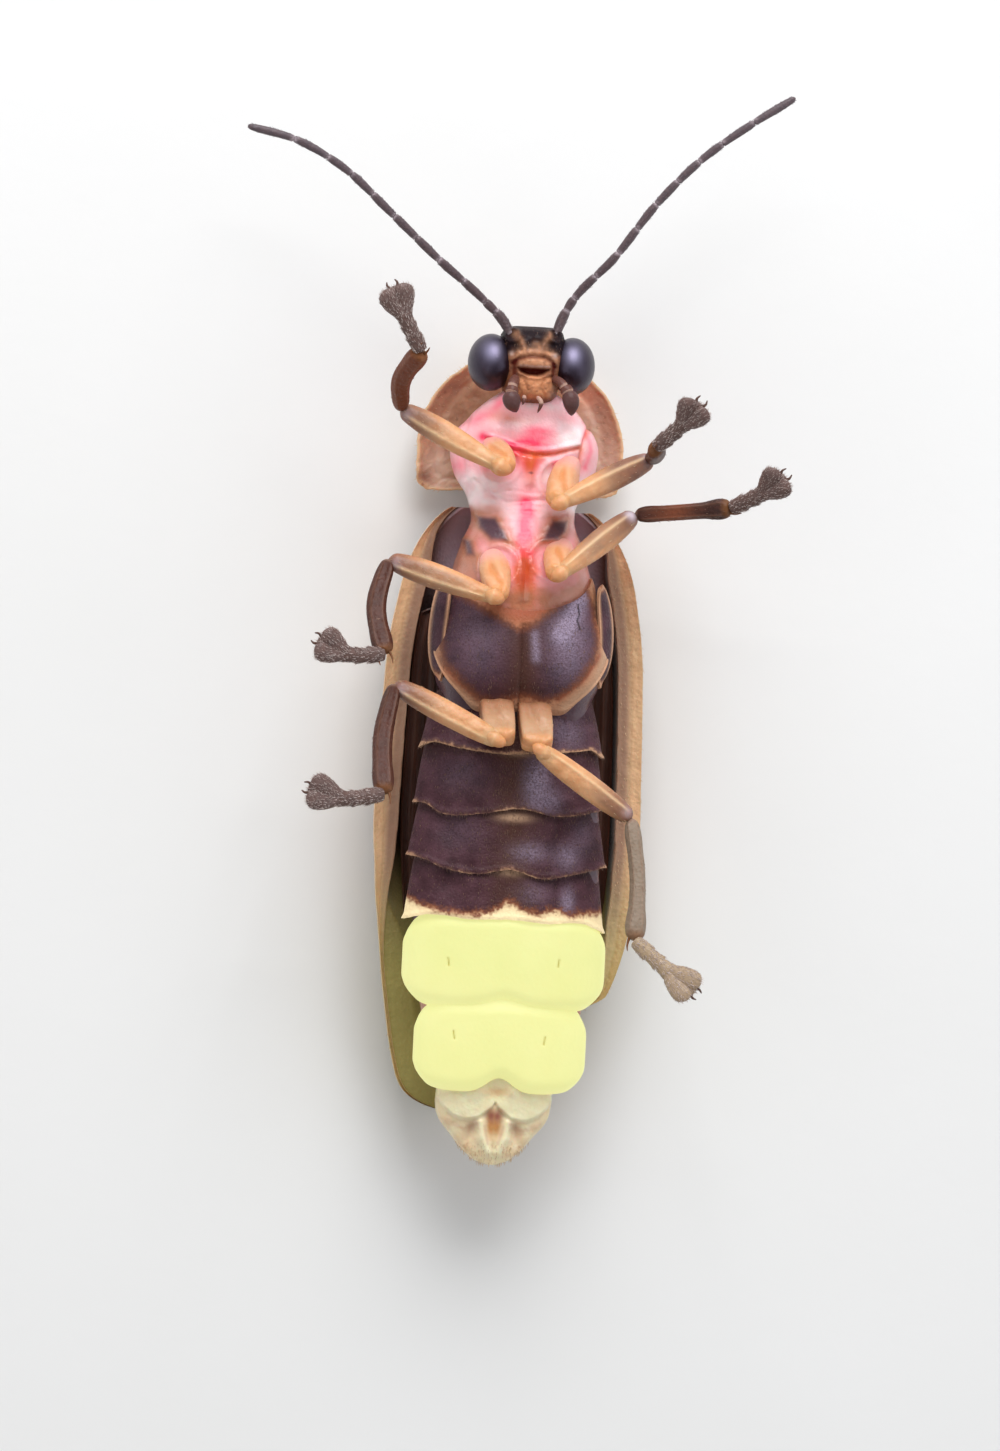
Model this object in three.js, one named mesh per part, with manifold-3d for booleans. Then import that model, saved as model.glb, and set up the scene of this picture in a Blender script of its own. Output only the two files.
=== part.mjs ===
// A life-size firefly lying on its back, modelled as a museum model would be.
// Millimetres. The belly faces +Z, the head points to +Y, and z = 0 is the floor under its back.
// The origin is where the middle of the back shield rests. The insect's own left side is at +X.

import * as THREE from "three";
import { mergeVertices } from "three/addons/utils/BufferGeometryUtils.js";
import Module from "manifold-3d";

const wasm = await Module();
wasm.setup();

// Driving dimensions

const CUT = 0.25; // gap between neighbouring parts
const PLATE = 0.45; // thickness of shields and wing cases
const REST_FLAT = 0.03; // how deep the rounded back is flattened where it meets the floor
const LIMB_SIDES = 10;
const BODY_SIDES = 28;
const BODY_SQUARENESS = 0.74; // exponent of the body's oval sections: 1 is an ellipse
const SIDES = { left: 1, right: -1 };

const SHIELD = {
  front: 1.38,
  widest: -0.3,
  rear: -1.04,
  halfWidth: 1.78,
  corner: 0.1,
  lift: { side: 0.62, front: 0.5, rear: 0.3 },
};
const SHIELD_RINGS = [0.24, 0.5, 0.74, 0.9, 1];
const SHIELD_SPOKES = 32;
const HEAD = { middle: 1.08, halfLength: 0.66, halfWidth: 0.52, back: 1.12, belly: 2.42, edge: 1.75 };
const EYE = { x: 0.56, y: 1.14, z: 1.86, radius: 0.5, cutAt: 0.5 };
const SCUTELLUM = { front: -1.56, tip: -2.5, frontHalf: 0.42, tipHalf: 0.04, lift: 0.06, depth: 1.3 };
const ELYTRON = {
  front: -1.36,
  halfWidth: 2.3,
  rimHeight: 1.45,
  roundness: 2.6,
  ridgeHeight: 0.05,
  shoulder: { narrow: 0.48, reach: 0.095 },
  parting: 0.3,
  right: { tip: -11.72, narrow: 0.3, bend: 1.5, blunt: 24 },
  left: { tip: -11.2, narrow: 0.72, bend: 3.4, blunt: 40 },
};
const WING = { front: -3.1, tip: -10.3, vein: 0.07, thickness: 0.4, inset: 0.95, curve: 0.34 };

// Belly segments, front to rear. Widths and belly heights are those of the front and rear edges,
// and lobe is how far the middle of each edge is drawn back.
const ABDOMEN = [
  { name: "abdomen_segment_2", front: -4.98, rear: -5.5, wide: [1.4, 1.56], belly: [2.3, 2.42], lobe: [0, 0] },
  { name: "abdomen_segment_3", front: -5.75, rear: -6.42, wide: [1.5, 1.62], belly: [2.32, 2.46], lobe: [0, 0.03] },
  { name: "abdomen_segment_4", front: -6.67, rear: -7.4, wide: [1.56, 1.68], belly: [2.32, 2.46], lobe: [0.03, 0.07] },
  { name: "abdomen_segment_5", front: -7.65, rear: -8.26, wide: [1.6, 1.73], belly: [2.3, 2.4], lobe: [0.07, -0.03] },
];
const ABDOMEN_BACK = 1.45;
const ABDOMEN_EDGE = 1.86;
const LANTERNS = [
  { name: "lantern_segment_6", front: -8.5, rear: -9.84, wide: 1.73, belly: 2.42, notch: 0.2 },
  { name: "lantern_segment_7", front: -10.02, rear: -11.2, wide: 1.46, belly: 2.3, notch: 0.3 },
];
const TAIL = { front: -11.32, rear: -12.58, wide: 1.0, belly: 2.02, back: 1.42 };

// Leg sizes of each pair, and each leg's pose. A turn is an angle from straight out sideways,
// positive towards the head, and a rise is an angle up from level.
const PAIRS = {
  fore: { femur: 2.05, tibia: 1.7, tarsus: 1.3 },
  mid: { femur: 1.98, tibia: 1.82, tarsus: 1.33 },
  hind: { femur: 2.04, tibia: 2.17, tarsus: 1.5 },
};
const LEGS = [
  {
    side: "right",
    pair: "fore",
    socket: [0.62, -0.28, 2.1],
    hip: [0.49, -0.72, 3.0],
    femur: { turn: 28, rise: -11 },
    tibia: { turn: 100, rise: 56, bow: 0.16 },
    tarsus: { turn: 60, rise: 12, curl: 5 },
  },
  {
    side: "left",
    pair: "fore",
    socket: [0.72, -0.5, 2.1],
    hip: [0.41, -1.28, 2.98],
    femur: { turn: 27.5, rise: -21.5 },
    tibia: { turn: 135, rise: 83, bow: 0.05 },
    tarsus: { turn: 46, rise: 36, curl: 10 },
  },
  {
    side: "right",
    pair: "mid",
    socket: [0.52, -2.2, 2.4],
    hip: [0.52, -2.92, 3.26],
    femur: { turn: 17, rise: -9 },
    tibia: { turn: -87.5, rise: 28, bow: 0.16 },
    tarsus: { turn: -3, rise: 15, curl: 27 },
  },
  {
    side: "left",
    pair: "mid",
    socket: [0.6, -1.98, 2.4],
    hip: [0.44, -2.5, 3.24],
    femur: { turn: 39, rise: -25 },
    tibia: { turn: 6.5, rise: 33, bow: 0.04 },
    tarsus: { turn: 30, rise: 39, curl: 14 },
  },
  {
    side: "right",
    pair: "hind",
    socket: [0.34, -4.7, 2.8],
    hip: [0.38, -5.34, 3.3],
    femur: { turn: 26, rise: -8.5 },
    tibia: { turn: -84, rise: 31, bow: 0.08 },
    tarsus: { turn: -8.5, rise: 18, curl: 23 },
  },
  {
    side: "left",
    pair: "hind",
    socket: [0.34, -4.7, 2.8],
    hip: [0.34, -5.42, 3.22],
    femur: { turn: -33.5, rise: -7.5 },
    tibia: { turn: -88, rise: 19, bow: 0.06 },
    tarsus: { turn: -41, rise: 24, curl: 3 },
  },
];

// Feelers: the path from the brow to the tip, and the length shares where they are parted.
const ANTENNA = { root: 0.5, neck: 0.44, tip: 0.32, joints: 11 };
const ANTENNA_PATHS = {
  right: [
    [0.5, 1.84, 1.95],
    [0.84, 2.12, 2.05],
    [1.72, 2.82, 2.2],
    [2.6, 3.58, 2.3],
    [3.4, 4.25, 2.42],
    [4.22, 4.68, 2.52],
    [5.1, 4.88, 2.6],
  ],
  left: [
    [0.42, 1.88, 1.95],
    [0.6, 2.18, 2.05],
    [1.3, 3.0, 2.2],
    [1.98, 3.96, 2.3],
    [2.74, 4.78, 2.42],
    [3.4, 5.3, 2.52],
    [4.22, 5.86, 2.6],
  ],
};
const ANTENNA_LENGTHS = [
  ["base", 0, 0.3],
  ["middle", 0.3, 0.64],
  ["tip", 0.64, 1],
];

// Materials

const finish = (color, roughness) => new THREE.MeshStandardMaterial({ color, roughness, metalness: 0 });
const MATERIALS = {
  shield: finish(0xb48a5e, 0.55),
  flesh: finish(0xe9a0a0, 0.35),
  plate: finish(0x4a3840, 0.45),
  wingCase: finish(0x5a4236, 0.5),
  wing: finish(0x4a3a34, 0.4),
  limb: finish(0xc69a5c, 0.45),
  shank: finish(0x6d4030, 0.5),
  foot: finish(0x7a6458, 0.7),
  eye: finish(0x18161f, 0.15),
  head: finish(0x5a3a26, 0.4),
  feeler: finish(0x3c2a28, 0.6),
  lantern: finish(0xf2f3a8, 0.4),
  tail: finish(0xe3d3a2, 0.45),
};

// Shape helpers

const mix = (a, b, t) => a + (b - a) * t;
const radians = (degrees) => (degrees * Math.PI) / 180;
const smooth = (t) => t * t * (3 - 2 * t);
const clamp01 = (t) => Math.min(1, Math.max(0, t));
const signedPower = (v, p) => Math.sign(v) * Math.abs(v) ** p;
const steps = (count) => Array.from({ length: count + 1 }, (_, i) => i / count);
const placed = ([x, y, z], side) => new THREE.Vector3(x * SIDES[side], y, z);

// A value read off a list of [share, value] pairs, with a smooth step between neighbours.
function along(list, share) {
  const next = list.findIndex(([at]) => at >= share);
  if (next <= 0) return list[0][1];
  const [from, to] = [list[next - 1], list[next]];
  const before = list[Math.max(next - 2, 0)];
  const after = list[Math.min(next + 1, list.length - 1)];
  const span = to[0] - from[0];
  const t = (share - from[0]) / span;
  const slope = (a, b) => ((b[1] - a[1]) / (b[0] - a[0])) * span;
  const [m0, m1] = [slope(before, to), slope(from, after)];
  const [t2, t3] = [t * t, t * t * t];
  return (2 * t3 - 3 * t2 + 1) * from[1] + (t3 - 2 * t2 + t) * m0
    + (3 * t2 - 2 * t3) * to[1] + (t3 - t2) * m1;
}

// A closed solid from points and triangles, turned so that its faces point outwards.
function solidOf(points, faces) {
  let volume = 0;
  for (let i = 0; i < faces.length; i += 3) {
    const [a, b, c] = [points[faces[i]], points[faces[i + 1]], points[faces[i + 2]]];
    volume += a.dot(b.clone().cross(c));
  }
  const geometry = new THREE.BufferGeometry().setFromPoints(points);
  geometry.setIndex(volume < 0 ? [...faces].reverse() : faces);
  return solidFrom(geometry);
}

function solidFrom(source) {
  const geometry = source.clone();
  geometry.deleteAttribute("normal");
  geometry.deleteAttribute("uv");
  const merged = mergeVertices(geometry, 1e-4);
  return new wasm.Manifold(
    new wasm.Mesh({
      numProp: 3,
      vertProperties: merged.getAttribute("position").array,
      triVerts: new Uint32Array(merged.index.array),
    }),
  );
}

// A closed solid through rings of points, with a fan over the first and the last ring.
function loft(rings) {
  const count = rings[0].length;
  const points = rings.flat();
  const faces = [];
  for (let k = 0; k + 1 < rings.length; k++)
    for (let i = 0; i < count; i++) {
      const a = k * count + i;
      const b = k * count + ((i + 1) % count);
      faces.push(a, b, b + count, a, b + count, a + count);
    }
  const middle = (ring) => ring.reduce((sum, p) => sum.add(p), new THREE.Vector3()).divideScalar(count);
  const last = (rings.length - 1) * count;
  const first = points.push(middle(rings[0])) - 1;
  const end = points.push(middle(rings.at(-1))) - 1;
  for (let i = 0; i < count; i++) {
    const j = (i + 1) % count;
    faces.push(first, j, i, end, last + i, last + j);
  }
  return solidOf(points, faces);
}

// A plate between an outer and an inner grid of points that share the same layout.
function plateOf(outer, inner) {
  const [rows, columns] = [outer.length, outer[0].length];
  const points = [...outer.flat(), ...inner.flat()];
  const inside = rows * columns;
  const faces = [];
  for (let r = 0; r + 1 < rows; r++)
    for (let c = 0; c + 1 < columns; c++) {
      const a = r * columns + c;
      const [b, d] = [a + 1, a + columns];
      faces.push(a, b, d + 1, a, d + 1, d);
      faces.push(a + inside, d + inside + 1, b + inside, a + inside, d + inside, d + inside + 1);
    }
  const border = [];
  for (let c = 0; c < columns - 1; c++) border.push(c);
  for (let r = 0; r < rows - 1; r++) border.push(r * columns + columns - 1);
  for (let c = columns - 1; c > 0; c--) border.push((rows - 1) * columns + c);
  for (let r = rows - 1; r > 0; r--) border.push(r * columns);
  border.forEach((a, i) => {
    const b = border[(i + 1) % border.length];
    faces.push(a, a + inside, b + inside, a, b + inside, b);
  });
  return solidOf(points, faces);
}

// One oval section of the body. shift moves a point forwards by a rule of its place across, -1 to 1.
function bodyRing({ y, wide, back, belly, edge, shift = () => 0, squareness = BODY_SQUARENESS }) {
  return Array.from({ length: BODY_SIDES }, (_, i) => {
    const angle = (i / BODY_SIDES) * 2 * Math.PI;
    const across = signedPower(Math.sin(angle), squareness);
    const up = signedPower(Math.cos(angle), squareness);
    const z = edge + up * (up > 0 ? belly - edge : edge - back);
    return new THREE.Vector3(across * wide, y + shift(across), z);
  });
}

// A limb along a curve. widths gives [share, width across, depth] and grow adds to all of them.
function limb(curve, widths, { rings = 8, sides = LIMB_SIDES, grow = 0 } = {}) {
  const up = new THREE.Vector3(0, 0, 1);
  const width = widths.map(([at, wide]) => [at, wide]);
  const depth = widths.map(([at, , deep]) => [at, deep]);
  const ends = { start: curve.getPointAt(0), end: curve.getPointAt(1) };
  return loft(
    steps(rings).map((share) => {
      const centre = curve.getPointAt(share);
      const ahead = curve.getTangentAt(share);
      if (share === 0) centre.copy(ends.start).addScaledVector(ahead, -grow);
      if (share === 1) centre.copy(ends.end).addScaledVector(ahead, grow);
      const side = ahead.clone().cross(up).normalize();
      const rise = side.clone().cross(ahead).normalize();
      const [halfWide, halfDeep] = [along(width, share) / 2 + grow, along(depth, share) / 2 + grow];
      return Array.from({ length: sides }, (_, i) => {
        const angle = (i / sides) * 2 * Math.PI;
        return centre
          .clone()
          .addScaledVector(side, Math.cos(angle) * halfWide)
          .addScaledVector(rise, Math.sin(angle) * halfDeep);
      });
    }),
  );
}

function ball(centre, radii, across = 20, down = 14) {
  const geometry = new THREE.SphereGeometry(1, across, down);
  geometry.scale(...radii);
  geometry.translate(...centre);
  return solidFrom(geometry);
}

function block(centre, size) {
  const geometry = new THREE.BoxGeometry(...size);
  geometry.translate(...centre);
  return solidFrom(geometry);
}

// Bent line through a few points.
const curveThrough = (points) => new THREE.CatmullRomCurve3(points, false, "centripetal");

// Only the largest closed surface of a solid, so that no loose scrap is left.
function largest(solid) {
  return solid.decompose().reduce((best, part) => (part.volume() > best.volume() ? part : best));
}

function meshOf(name, solid, material) {
  const { vertProperties, triVerts, numProp, numVert } = largest(solid).getMesh();
  const position = new Float32Array(numVert * 3);
  for (let i = 0; i < numVert; i++) {
    position.set(vertProperties.subarray(i * numProp, i * numProp + 3), i * 3);
  }
  const geometry = new THREE.BufferGeometry();
  geometry.setAttribute("position", new THREE.BufferAttribute(position, 3));
  geometry.setIndex(new THREE.BufferAttribute(triVerts, 1));
  geometry.computeVertexNormals();
  const mesh = new THREE.Mesh(geometry, material);
  mesh.name = name;
  return mesh;
}

// Back shield over the head: a thin dome with a drawn-out rim and two blunt rear corners.

// Its outline is an oval in front of the widest place and nearly square behind it.
function shieldEdge(angle) {
  const { front, widest, rear, halfWidth, corner } = SHIELD;
  const [sin, cos] = [Math.sin(angle), Math.cos(angle)];
  if (cos > 0) return [halfWidth * sin, widest + (front - widest) * cos];
  const pull = corner * (sin * cos) ** 2 * 4;
  const x = halfWidth * signedPower(sin, 0.4) * (1 + pull * 0.4);
  return [x, widest + (rear - widest) * Math.abs(cos) ** 0.42 - pull];
}

// How high the rim is at a point of the edge: highest at the sides, lowest at the rear.
function shieldLift(angle) {
  const { side, front, rear } = SHIELD.lift;
  return mix(Math.cos(angle) > 0 ? front : rear, side, Math.sin(angle) ** 2);
}

function shieldSolid() {
  const ringAt = (ring, height) =>
    steps(SHIELD_SPOKES).slice(1).map((turn) => {
      const angle = turn * 2 * Math.PI;
      const [x, y] = shieldEdge(angle);
      const dome = Math.max(0, shieldLift(angle) * ring ** 2.2 - REST_FLAT);
      return new THREE.Vector3(x * ring, y * ring, dome + height);
    });
  const outer = SHIELD_RINGS.map((ring) => ringAt(ring, 0));
  const inner = SHIELD_RINGS.map((ring) => ringAt(ring, PLATE)).reverse();
  return loft([...outer, ...inner]);
}

// Head with brow, face, lips and mouth slit, and short mouth feelers.

function headSolid() {
  const { middle, halfLength, halfWidth, back, belly, edge } = HEAD;
  const rings = steps(10).map((share) => {
    const reach = mix(-0.97, 0.97, share);
    const size = Math.sqrt(1 - reach * reach);
    return bodyRing({
      y: middle + reach * halfLength,
      wide: halfWidth * size,
      back: mix(edge, back, size),
      belly: mix(edge, belly, size),
      edge,
    });
  });
  const upperLip = ball([0, middle + 0.08, belly - 0.02], [0.36, 0.17, 0.26], 14, 10);
  const lowerLip = ball([0, middle - 0.34, belly - 0.08], [0.33, 0.24, 0.3], 14, 10);
  const mouth = ball([0, middle - 0.07, belly + 0.2], [0.26, 0.05, 0.22], 12, 8);
  const pieces = [loft(rings), upperLip, lowerLip];
  for (const side of Object.keys(SIDES)) {
    const palp = curveThrough([
      placed([0.26, middle - 0.3, belly - 0.12], side),
      placed([0.42, middle - 0.46, belly + 0.1], side),
      placed([0.5, middle - 0.7, belly + 0.12], side),
    ]);
    const palpWidths = [[0, 0.26, 0.26], [0.5, 0.3, 0.28], [0.8, 0.32, 0.3], [1, 0.14, 0.14]];
    pieces.push(feelerSocketSolid(side), limb(palp, palpWidths, { rings: 6, sides: 8 }));
  }
  const eyes = Object.keys(SIDES).map((side) => eyeSolid(side, CUT));
  return wasm.Manifold.union(pieces).subtract(wasm.Manifold.union([mouth, ...eyes]));
}

function feelerSocketSolid(side, grow = 0) {
  const radii = [0.2, 0.24, 0.22].map((radius) => radius + grow);
  return ball([SIDES[side] * 0.26, HEAD.middle + 0.52, 1.98], radii, 12, 8);
}

// An eye is a ball with a flat inner side against the head. grow makes it larger on every side.
function eyeSolid(side, grow = 0) {
  const { x, y, z, radius, cutAt } = EYE;
  const size = radius + grow;
  const whole = ball([SIDES[side] * x, y, z], [size, size, size], 20, 14);
  const outside = block([SIDES[side] * (cutAt - grow + 1), y, z], [2, 3, 3]);
  return whole.intersect(outside);
}

// Thorax in three rings, with the leg sockets on them.

const coxaWidths = [[0, 0.6, 0.6], [0.6, 0.54, 0.54], [1, 0.4, 0.4]];

function coxaCurve(leg) {
  const [socket, hip] = [placed(leg.socket, leg.side), placed(leg.hip, leg.side)];
  const reach = hip.clone().sub(socket).setLength(hip.distanceTo(socket) - 0.1);
  return new THREE.LineCurve3(socket, socket.clone().add(reach));
}

const coxaSolid = (leg, grow = 0) => limb(coxaCurve(leg), coxaWidths, { rings: 4, grow });
const coxaeOf = (pair) => LEGS.filter((leg) => leg.pair === pair).map((leg) => coxaSolid(leg));

function prothoraxSolid() {
  const stations = [
    { y: 0.16, wide: 1.0, back: 0.92, belly: 1.85, edge: 1.3 },
    { y: -0.05, wide: 1.2, back: 0.86, belly: 2.1, edge: 1.3 },
    { y: -0.4, wide: 1.28, back: 0.86, belly: 2.22, edge: 1.32 },
    { y: -0.85, wide: 1.12, back: 0.98, belly: 2.28, edge: 1.4 },
    { y: -1.14, wide: 0.86, back: 1.06, belly: 2.3, edge: 1.5 },
    { y: -1.32, wide: 0.46, back: 1.2, belly: 2.28, edge: 1.6 },
  ];
  return wasm.Manifold.union([loft(stations.map(bodyRing)), ...coxaeOf("fore")]);
}

// The small triangle on the back that fills the corner between the wing cases.
function scutellumSolid() {
  const { front, tip, frontHalf, tipHalf, lift, depth } = SCUTELLUM;
  const outline = new THREE.Shape();
  outline.moveTo(-frontHalf, front);
  outline.lineTo(frontHalf, front);
  outline.lineTo(tipHalf, tip);
  outline.lineTo(-tipHalf, tip);
  const geometry = new THREE.ExtrudeGeometry(outline, { depth, bevelEnabled: false });
  geometry.translate(0, 0, lift);
  return solidFrom(geometry);
}

function mesothoraxSolid() {
  const stations = [
    { y: -1.6, wide: 0.72, back: 1.04, belly: 2.36, edge: 1.6 },
    { y: -1.9, wide: 0.95, back: 0.9, belly: 2.56, edge: 1.6 },
    { y: -2.4, wide: 1.15, back: 0.88, belly: 2.74, edge: 1.65 },
    { y: -2.78, wide: 1.24, back: 0.9, belly: 2.78, edge: 1.7 },
  ];
  return wasm.Manifold.union([loft(stations.map(bodyRing)), scutellumSolid(), ...coxaeOf("mid")]);
}

function metathoraxSolid() {
  const nose = (across) => 0.22 * (1 - Math.abs(across)) ** 1.5;
  const tail = (across) => -0.34 * (1 - across * across);
  const stations = [
    { y: -3.05, wide: 1.28, back: 1.46, belly: 2.66, edge: 1.8 },
    { y: -3.4, wide: 1.46, back: 1.44, belly: 2.86, edge: 1.85 },
    { y: -3.9, wide: 1.52, back: 1.44, belly: 2.94, edge: 1.9 },
    { y: -4.3, wide: 1.46, back: 1.44, belly: 2.9, edge: 1.9, shift: tail },
  ];
  const furrowLine = new THREE.LineCurve3(new THREE.Vector3(0, -3.1, 2.98), new THREE.Vector3(0, -4.9, 3.02));
  const furrow = limb(furrowLine, [[0, 0.1, 0.3], [1, 0.12, 0.34]], { rings: 2, sides: 6 });
  const ribs = Object.values(SIDES).map((side) => {
    const line = curveThrough([
      new THREE.Vector3(side * 1.38, -4.12, 2.2),
      new THREE.Vector3(side * 1.0, -4.55, 2.62),
      new THREE.Vector3(side * 0.4, -4.86, 2.86),
    ]);
    return limb(line, [[0, 0.3, 0.3], [0.6, 0.36, 0.4], [1, 0.5, 0.42]], { rings: 6, sides: 8 });
  });
  const shell = wasm.Manifold.union([loft(stations.map(bodyRing)), ...ribs]).subtract(furrow);
  return wasm.Manifold.union([shell, ...coxaeOf("hind")]);
}

// Abdomen: dark belly segments that flare to the rear, two light organs and the tail.

function abdomenSolid({ front, rear, wide, belly, lobe }) {
  const rings = steps(4).map((share) => {
    const flare = smooth(share);
    return bodyRing({
      y: mix(front, rear, share),
      wide: mix(wide[0], wide[1], flare),
      back: ABDOMEN_BACK,
      belly: mix(belly[0], belly[1], flare),
      edge: ABDOMEN_EDGE,
      shift: (across) => -mix(lobe[0], lobe[1], share) * (1 - Math.abs(across)) * 2,
      squareness: 0.7,
    });
  });
  return loft(rings);
}

// A light organ has rounded corners and a rear edge with a notch between two lobes.
function lanternSolid({ front, rear, wide, belly, notch }) {
  const notched = (across, share) =>
    share ** 3 * (notch * Math.exp(-((across / 0.3) ** 2)) + 0.32 * Math.abs(across) ** 5);
  const rings = steps(8).map((share) => {
    const round = 1 - 0.13 * (1 - share) ** 4 - 0.06 * share ** 8;
    return bodyRing({
      y: mix(front, rear, share),
      wide: wide * round,
      back: mix(ABDOMEN_BACK, ABDOMEN_BACK + 0.02, share),
      belly: belly - 0.1 * share ** 6 - 0.08 * (1 - share) ** 4,
      edge: ABDOMEN_EDGE,
      shift: (across) => notched(across, share) - 0.08 * (1 - share) ** 2 * across * across,
      squareness: 0.66,
    });
  });
  return loft(rings);
}

function tailSolid() {
  const { front, rear, wide, belly, back } = TAIL;
  const rings = steps(8).map((share) => {
    const size = Math.sqrt(Math.max(0, 1 - (share * 0.985) ** 2.1));
    const middle = mix(back, belly, 0.45);
    return bodyRing({
      y: mix(front, rear, share),
      wide: wide * size,
      back: mix(middle, back, Math.sqrt(size)),
      belly: mix(middle, belly, Math.sqrt(size)),
      edge: middle,
      shift: (across) => (1 - share) ** 2 * -0.34 * Math.abs(across) ** 3,
    });
  });
  const keelLine = new THREE.LineCurve3(new THREE.Vector3(0, -11.5, 1.86), new THREE.Vector3(0, -12.46, 1.8));
  const keel = limb(keelLine, [[0, 0.44, 0.5], [0.5, 0.36, 0.5], [1, 0.12, 0.12]], { rings: 5, sides: 8 });
  return wasm.Manifold.union([loft(rings), keel]);
}

// Wing cases: long plates that curve up at the side into a rounded rim, with two low ridges.

// How far the outer edge of a wing case is from the middle line. Both widen behind the shoulder.
// The right one stays broad to a blunt tip and the left one tucks in behind the light organs.
function elytronEdge(side, share) {
  const { halfWidth, shoulder } = ELYTRON;
  const { narrow, bend, blunt } = ELYTRON[side];
  const rear = clamp01(share * 2 - 1);
  const widening = 1 - shoulder.narrow * Math.exp(-((share / shoulder.reach) ** 0.85));
  return halfWidth * widening * (1 - narrow * rear ** bend) * Math.sqrt(1 - 0.8 * rear ** blunt);
}

function elytronHeight(share) {
  const frontDrop = 0.28 * (1 - clamp01(share / 0.12)) ** 2;
  const rearDrop = 0.4 * clamp01((share - 0.55) / 0.45) ** 2;
  return ELYTRON.rimHeight - frontDrop - rearDrop;
}

// Height of the rounded back at x, for an edge at wide and a rim at height.
function domeHeight(x, wide, height) {
  const ratio = Math.min(1, Math.abs(x) / wide);
  return height * (1 - (1 - ratio ** ELYTRON.roundness) ** (1 / ELYTRON.roundness));
}

// The inner edge of a wing case: beside the small triangle in front, parting again at the tip.
function sutureAt(y, share) {
  const { front, tip, frontHalf, tipHalf } = SCUTELLUM;
  const beside = mix(frontHalf, tipHalf, clamp01((front - y) / (front - tip))) + CUT;
  const behind = smooth(clamp01((tip - y) / 0.6));
  return mix(beside, CUT / 2, behind) + ELYTRON.parting * clamp01((share - 0.92) / 0.08) ** 2;
}

function casePoint(side, share, across, { inset, lift, ridges }) {
  const y = mix(ELYTRON.front, ELYTRON[side].tip, share);
  const [suture, edge] = [sutureAt(y, share), elytronEdge(side, share)];
  const wide = edge - Math.min(inset, 0.45 * (edge - suture));
  const x = mix(suture, wide, Math.sin((across * Math.PI) / 2));
  const end = 0.16 * clamp01((share - 0.75) / 0.25) ** 2 + 0.12 * (1 - clamp01(share / 0.1)) ** 2;
  const ridge = ridges * Math.exp(-(((x / wide - 0.62) / 0.05) ** 2));
  const dome = domeHeight(x, wide, elytronHeight(share) - lift) + end - REST_FLAT - ridge;
  return new THREE.Vector3(x * SIDES[side], y, Math.max(0, dome) + lift);
}

function elytronSolid(side) {
  const surface = (options) =>
    steps(20).map((share) => steps(9).map((across) => casePoint(side, share, across, options)));
  const outer = surface({ inset: 0, lift: 0, ridges: ELYTRON.ridgeHeight });
  const inner = surface({ inset: PLATE, lift: PLATE, ridges: 0 });
  return plateOf(outer, inner);
}

// Flying wings, folded flat between the wing cases and the body, with their main veins raised.
function wingSolid(side) {
  const point = (share, across, lift, vein) => {
    const y = mix(WING.front, WING.tip, share);
    const caseShare = (y - ELYTRON.front) / (ELYTRON[side].tip - ELYTRON.front);
    const round = Math.min(1, (share / 0.1) ** 0.5 + 0.5, ((1 - share) / 0.2) ** 0.5 + 0.5);
    const limit = (elytronEdge(side, caseShare) - WING.inset) * round;
    const x = mix(CUT / 2, limit, across);
    const height = domeHeight(x, limit * 1.12, WING.curve) + PLATE + CUT;
    const ridge = vein * Math.exp(-((((across * 4) % 1) - 0.5) ** 2) / 0.02);
    return new THREE.Vector3(x * SIDES[side], y, height + lift + ridge);
  };
  const grid = (lift, vein) => steps(12).map((share) => steps(8).map((c) => point(share, c, lift, vein)));
  return plateOf(grid(0, 0), grid(WING.thickness, WING.vein));
}

// Legs: thigh, shank and foot follow one another from the hip.

function heading(leg, { turn, rise }) {
  const [a, b] = [radians(turn), radians(rise)];
  return new THREE.Vector3(
    Math.cos(b) * Math.cos(a) * SIDES[leg.side],
    Math.cos(b) * Math.sin(a),
    Math.sin(b),
  );
}

// Limb line from a start along a heading, bowed outwards by part of its length or curled at its end.
function limbLine(leg, start, pose, length) {
  const ahead = heading(leg, pose);
  const end = start.clone().addScaledVector(ahead, length);
  const middle = start.clone().addScaledVector(ahead, length * 0.5);
  if (pose.bow) {
    const outwards = new THREE.Vector3(SIDES[leg.side], 0, 0);
    outwards.addScaledVector(ahead, -outwards.dot(ahead)).normalize();
    middle.addScaledVector(outwards, pose.bow * length * 0.6);
  }
  if (pose.curl) {
    const curled = heading(leg, { turn: pose.turn + pose.curl, rise: pose.rise });
    end.copy(middle).addScaledVector(curled, length * 0.5);
  }
  return { curve: curveThrough([start, middle, end]), end };
}

const femurWidths = [[0, 0.4, 0.4], [0.15, 0.48, 0.46], [0.45, 0.52, 0.5], [0.85, 0.47, 0.45], [1, 0.38, 0.36]];
const tibiaWidths = [[0, 0.38, 0.38], [0.2, 0.48, 0.46], [0.7, 0.5, 0.48], [1, 0.46, 0.44]];

// Five foot joints. Each swells towards its end, and the fourth is broad and lobed.
function tarsusWidths() {
  const list = [[0, 0.3, 0.3]];
  const joints = [[0.28, 0.44], [0.46, 0.46], [0.62, 0.5], [0.82, 0.62], [1, 0.3]];
  let from = 0;
  for (const [to, wide] of joints) {
    list.push([mix(from, to, 0.7), wide, Math.min(wide, 0.46)]);
    list.push([to, wide * 0.74, 0.32]);
    from = to;
  }
  return list;
}

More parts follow.
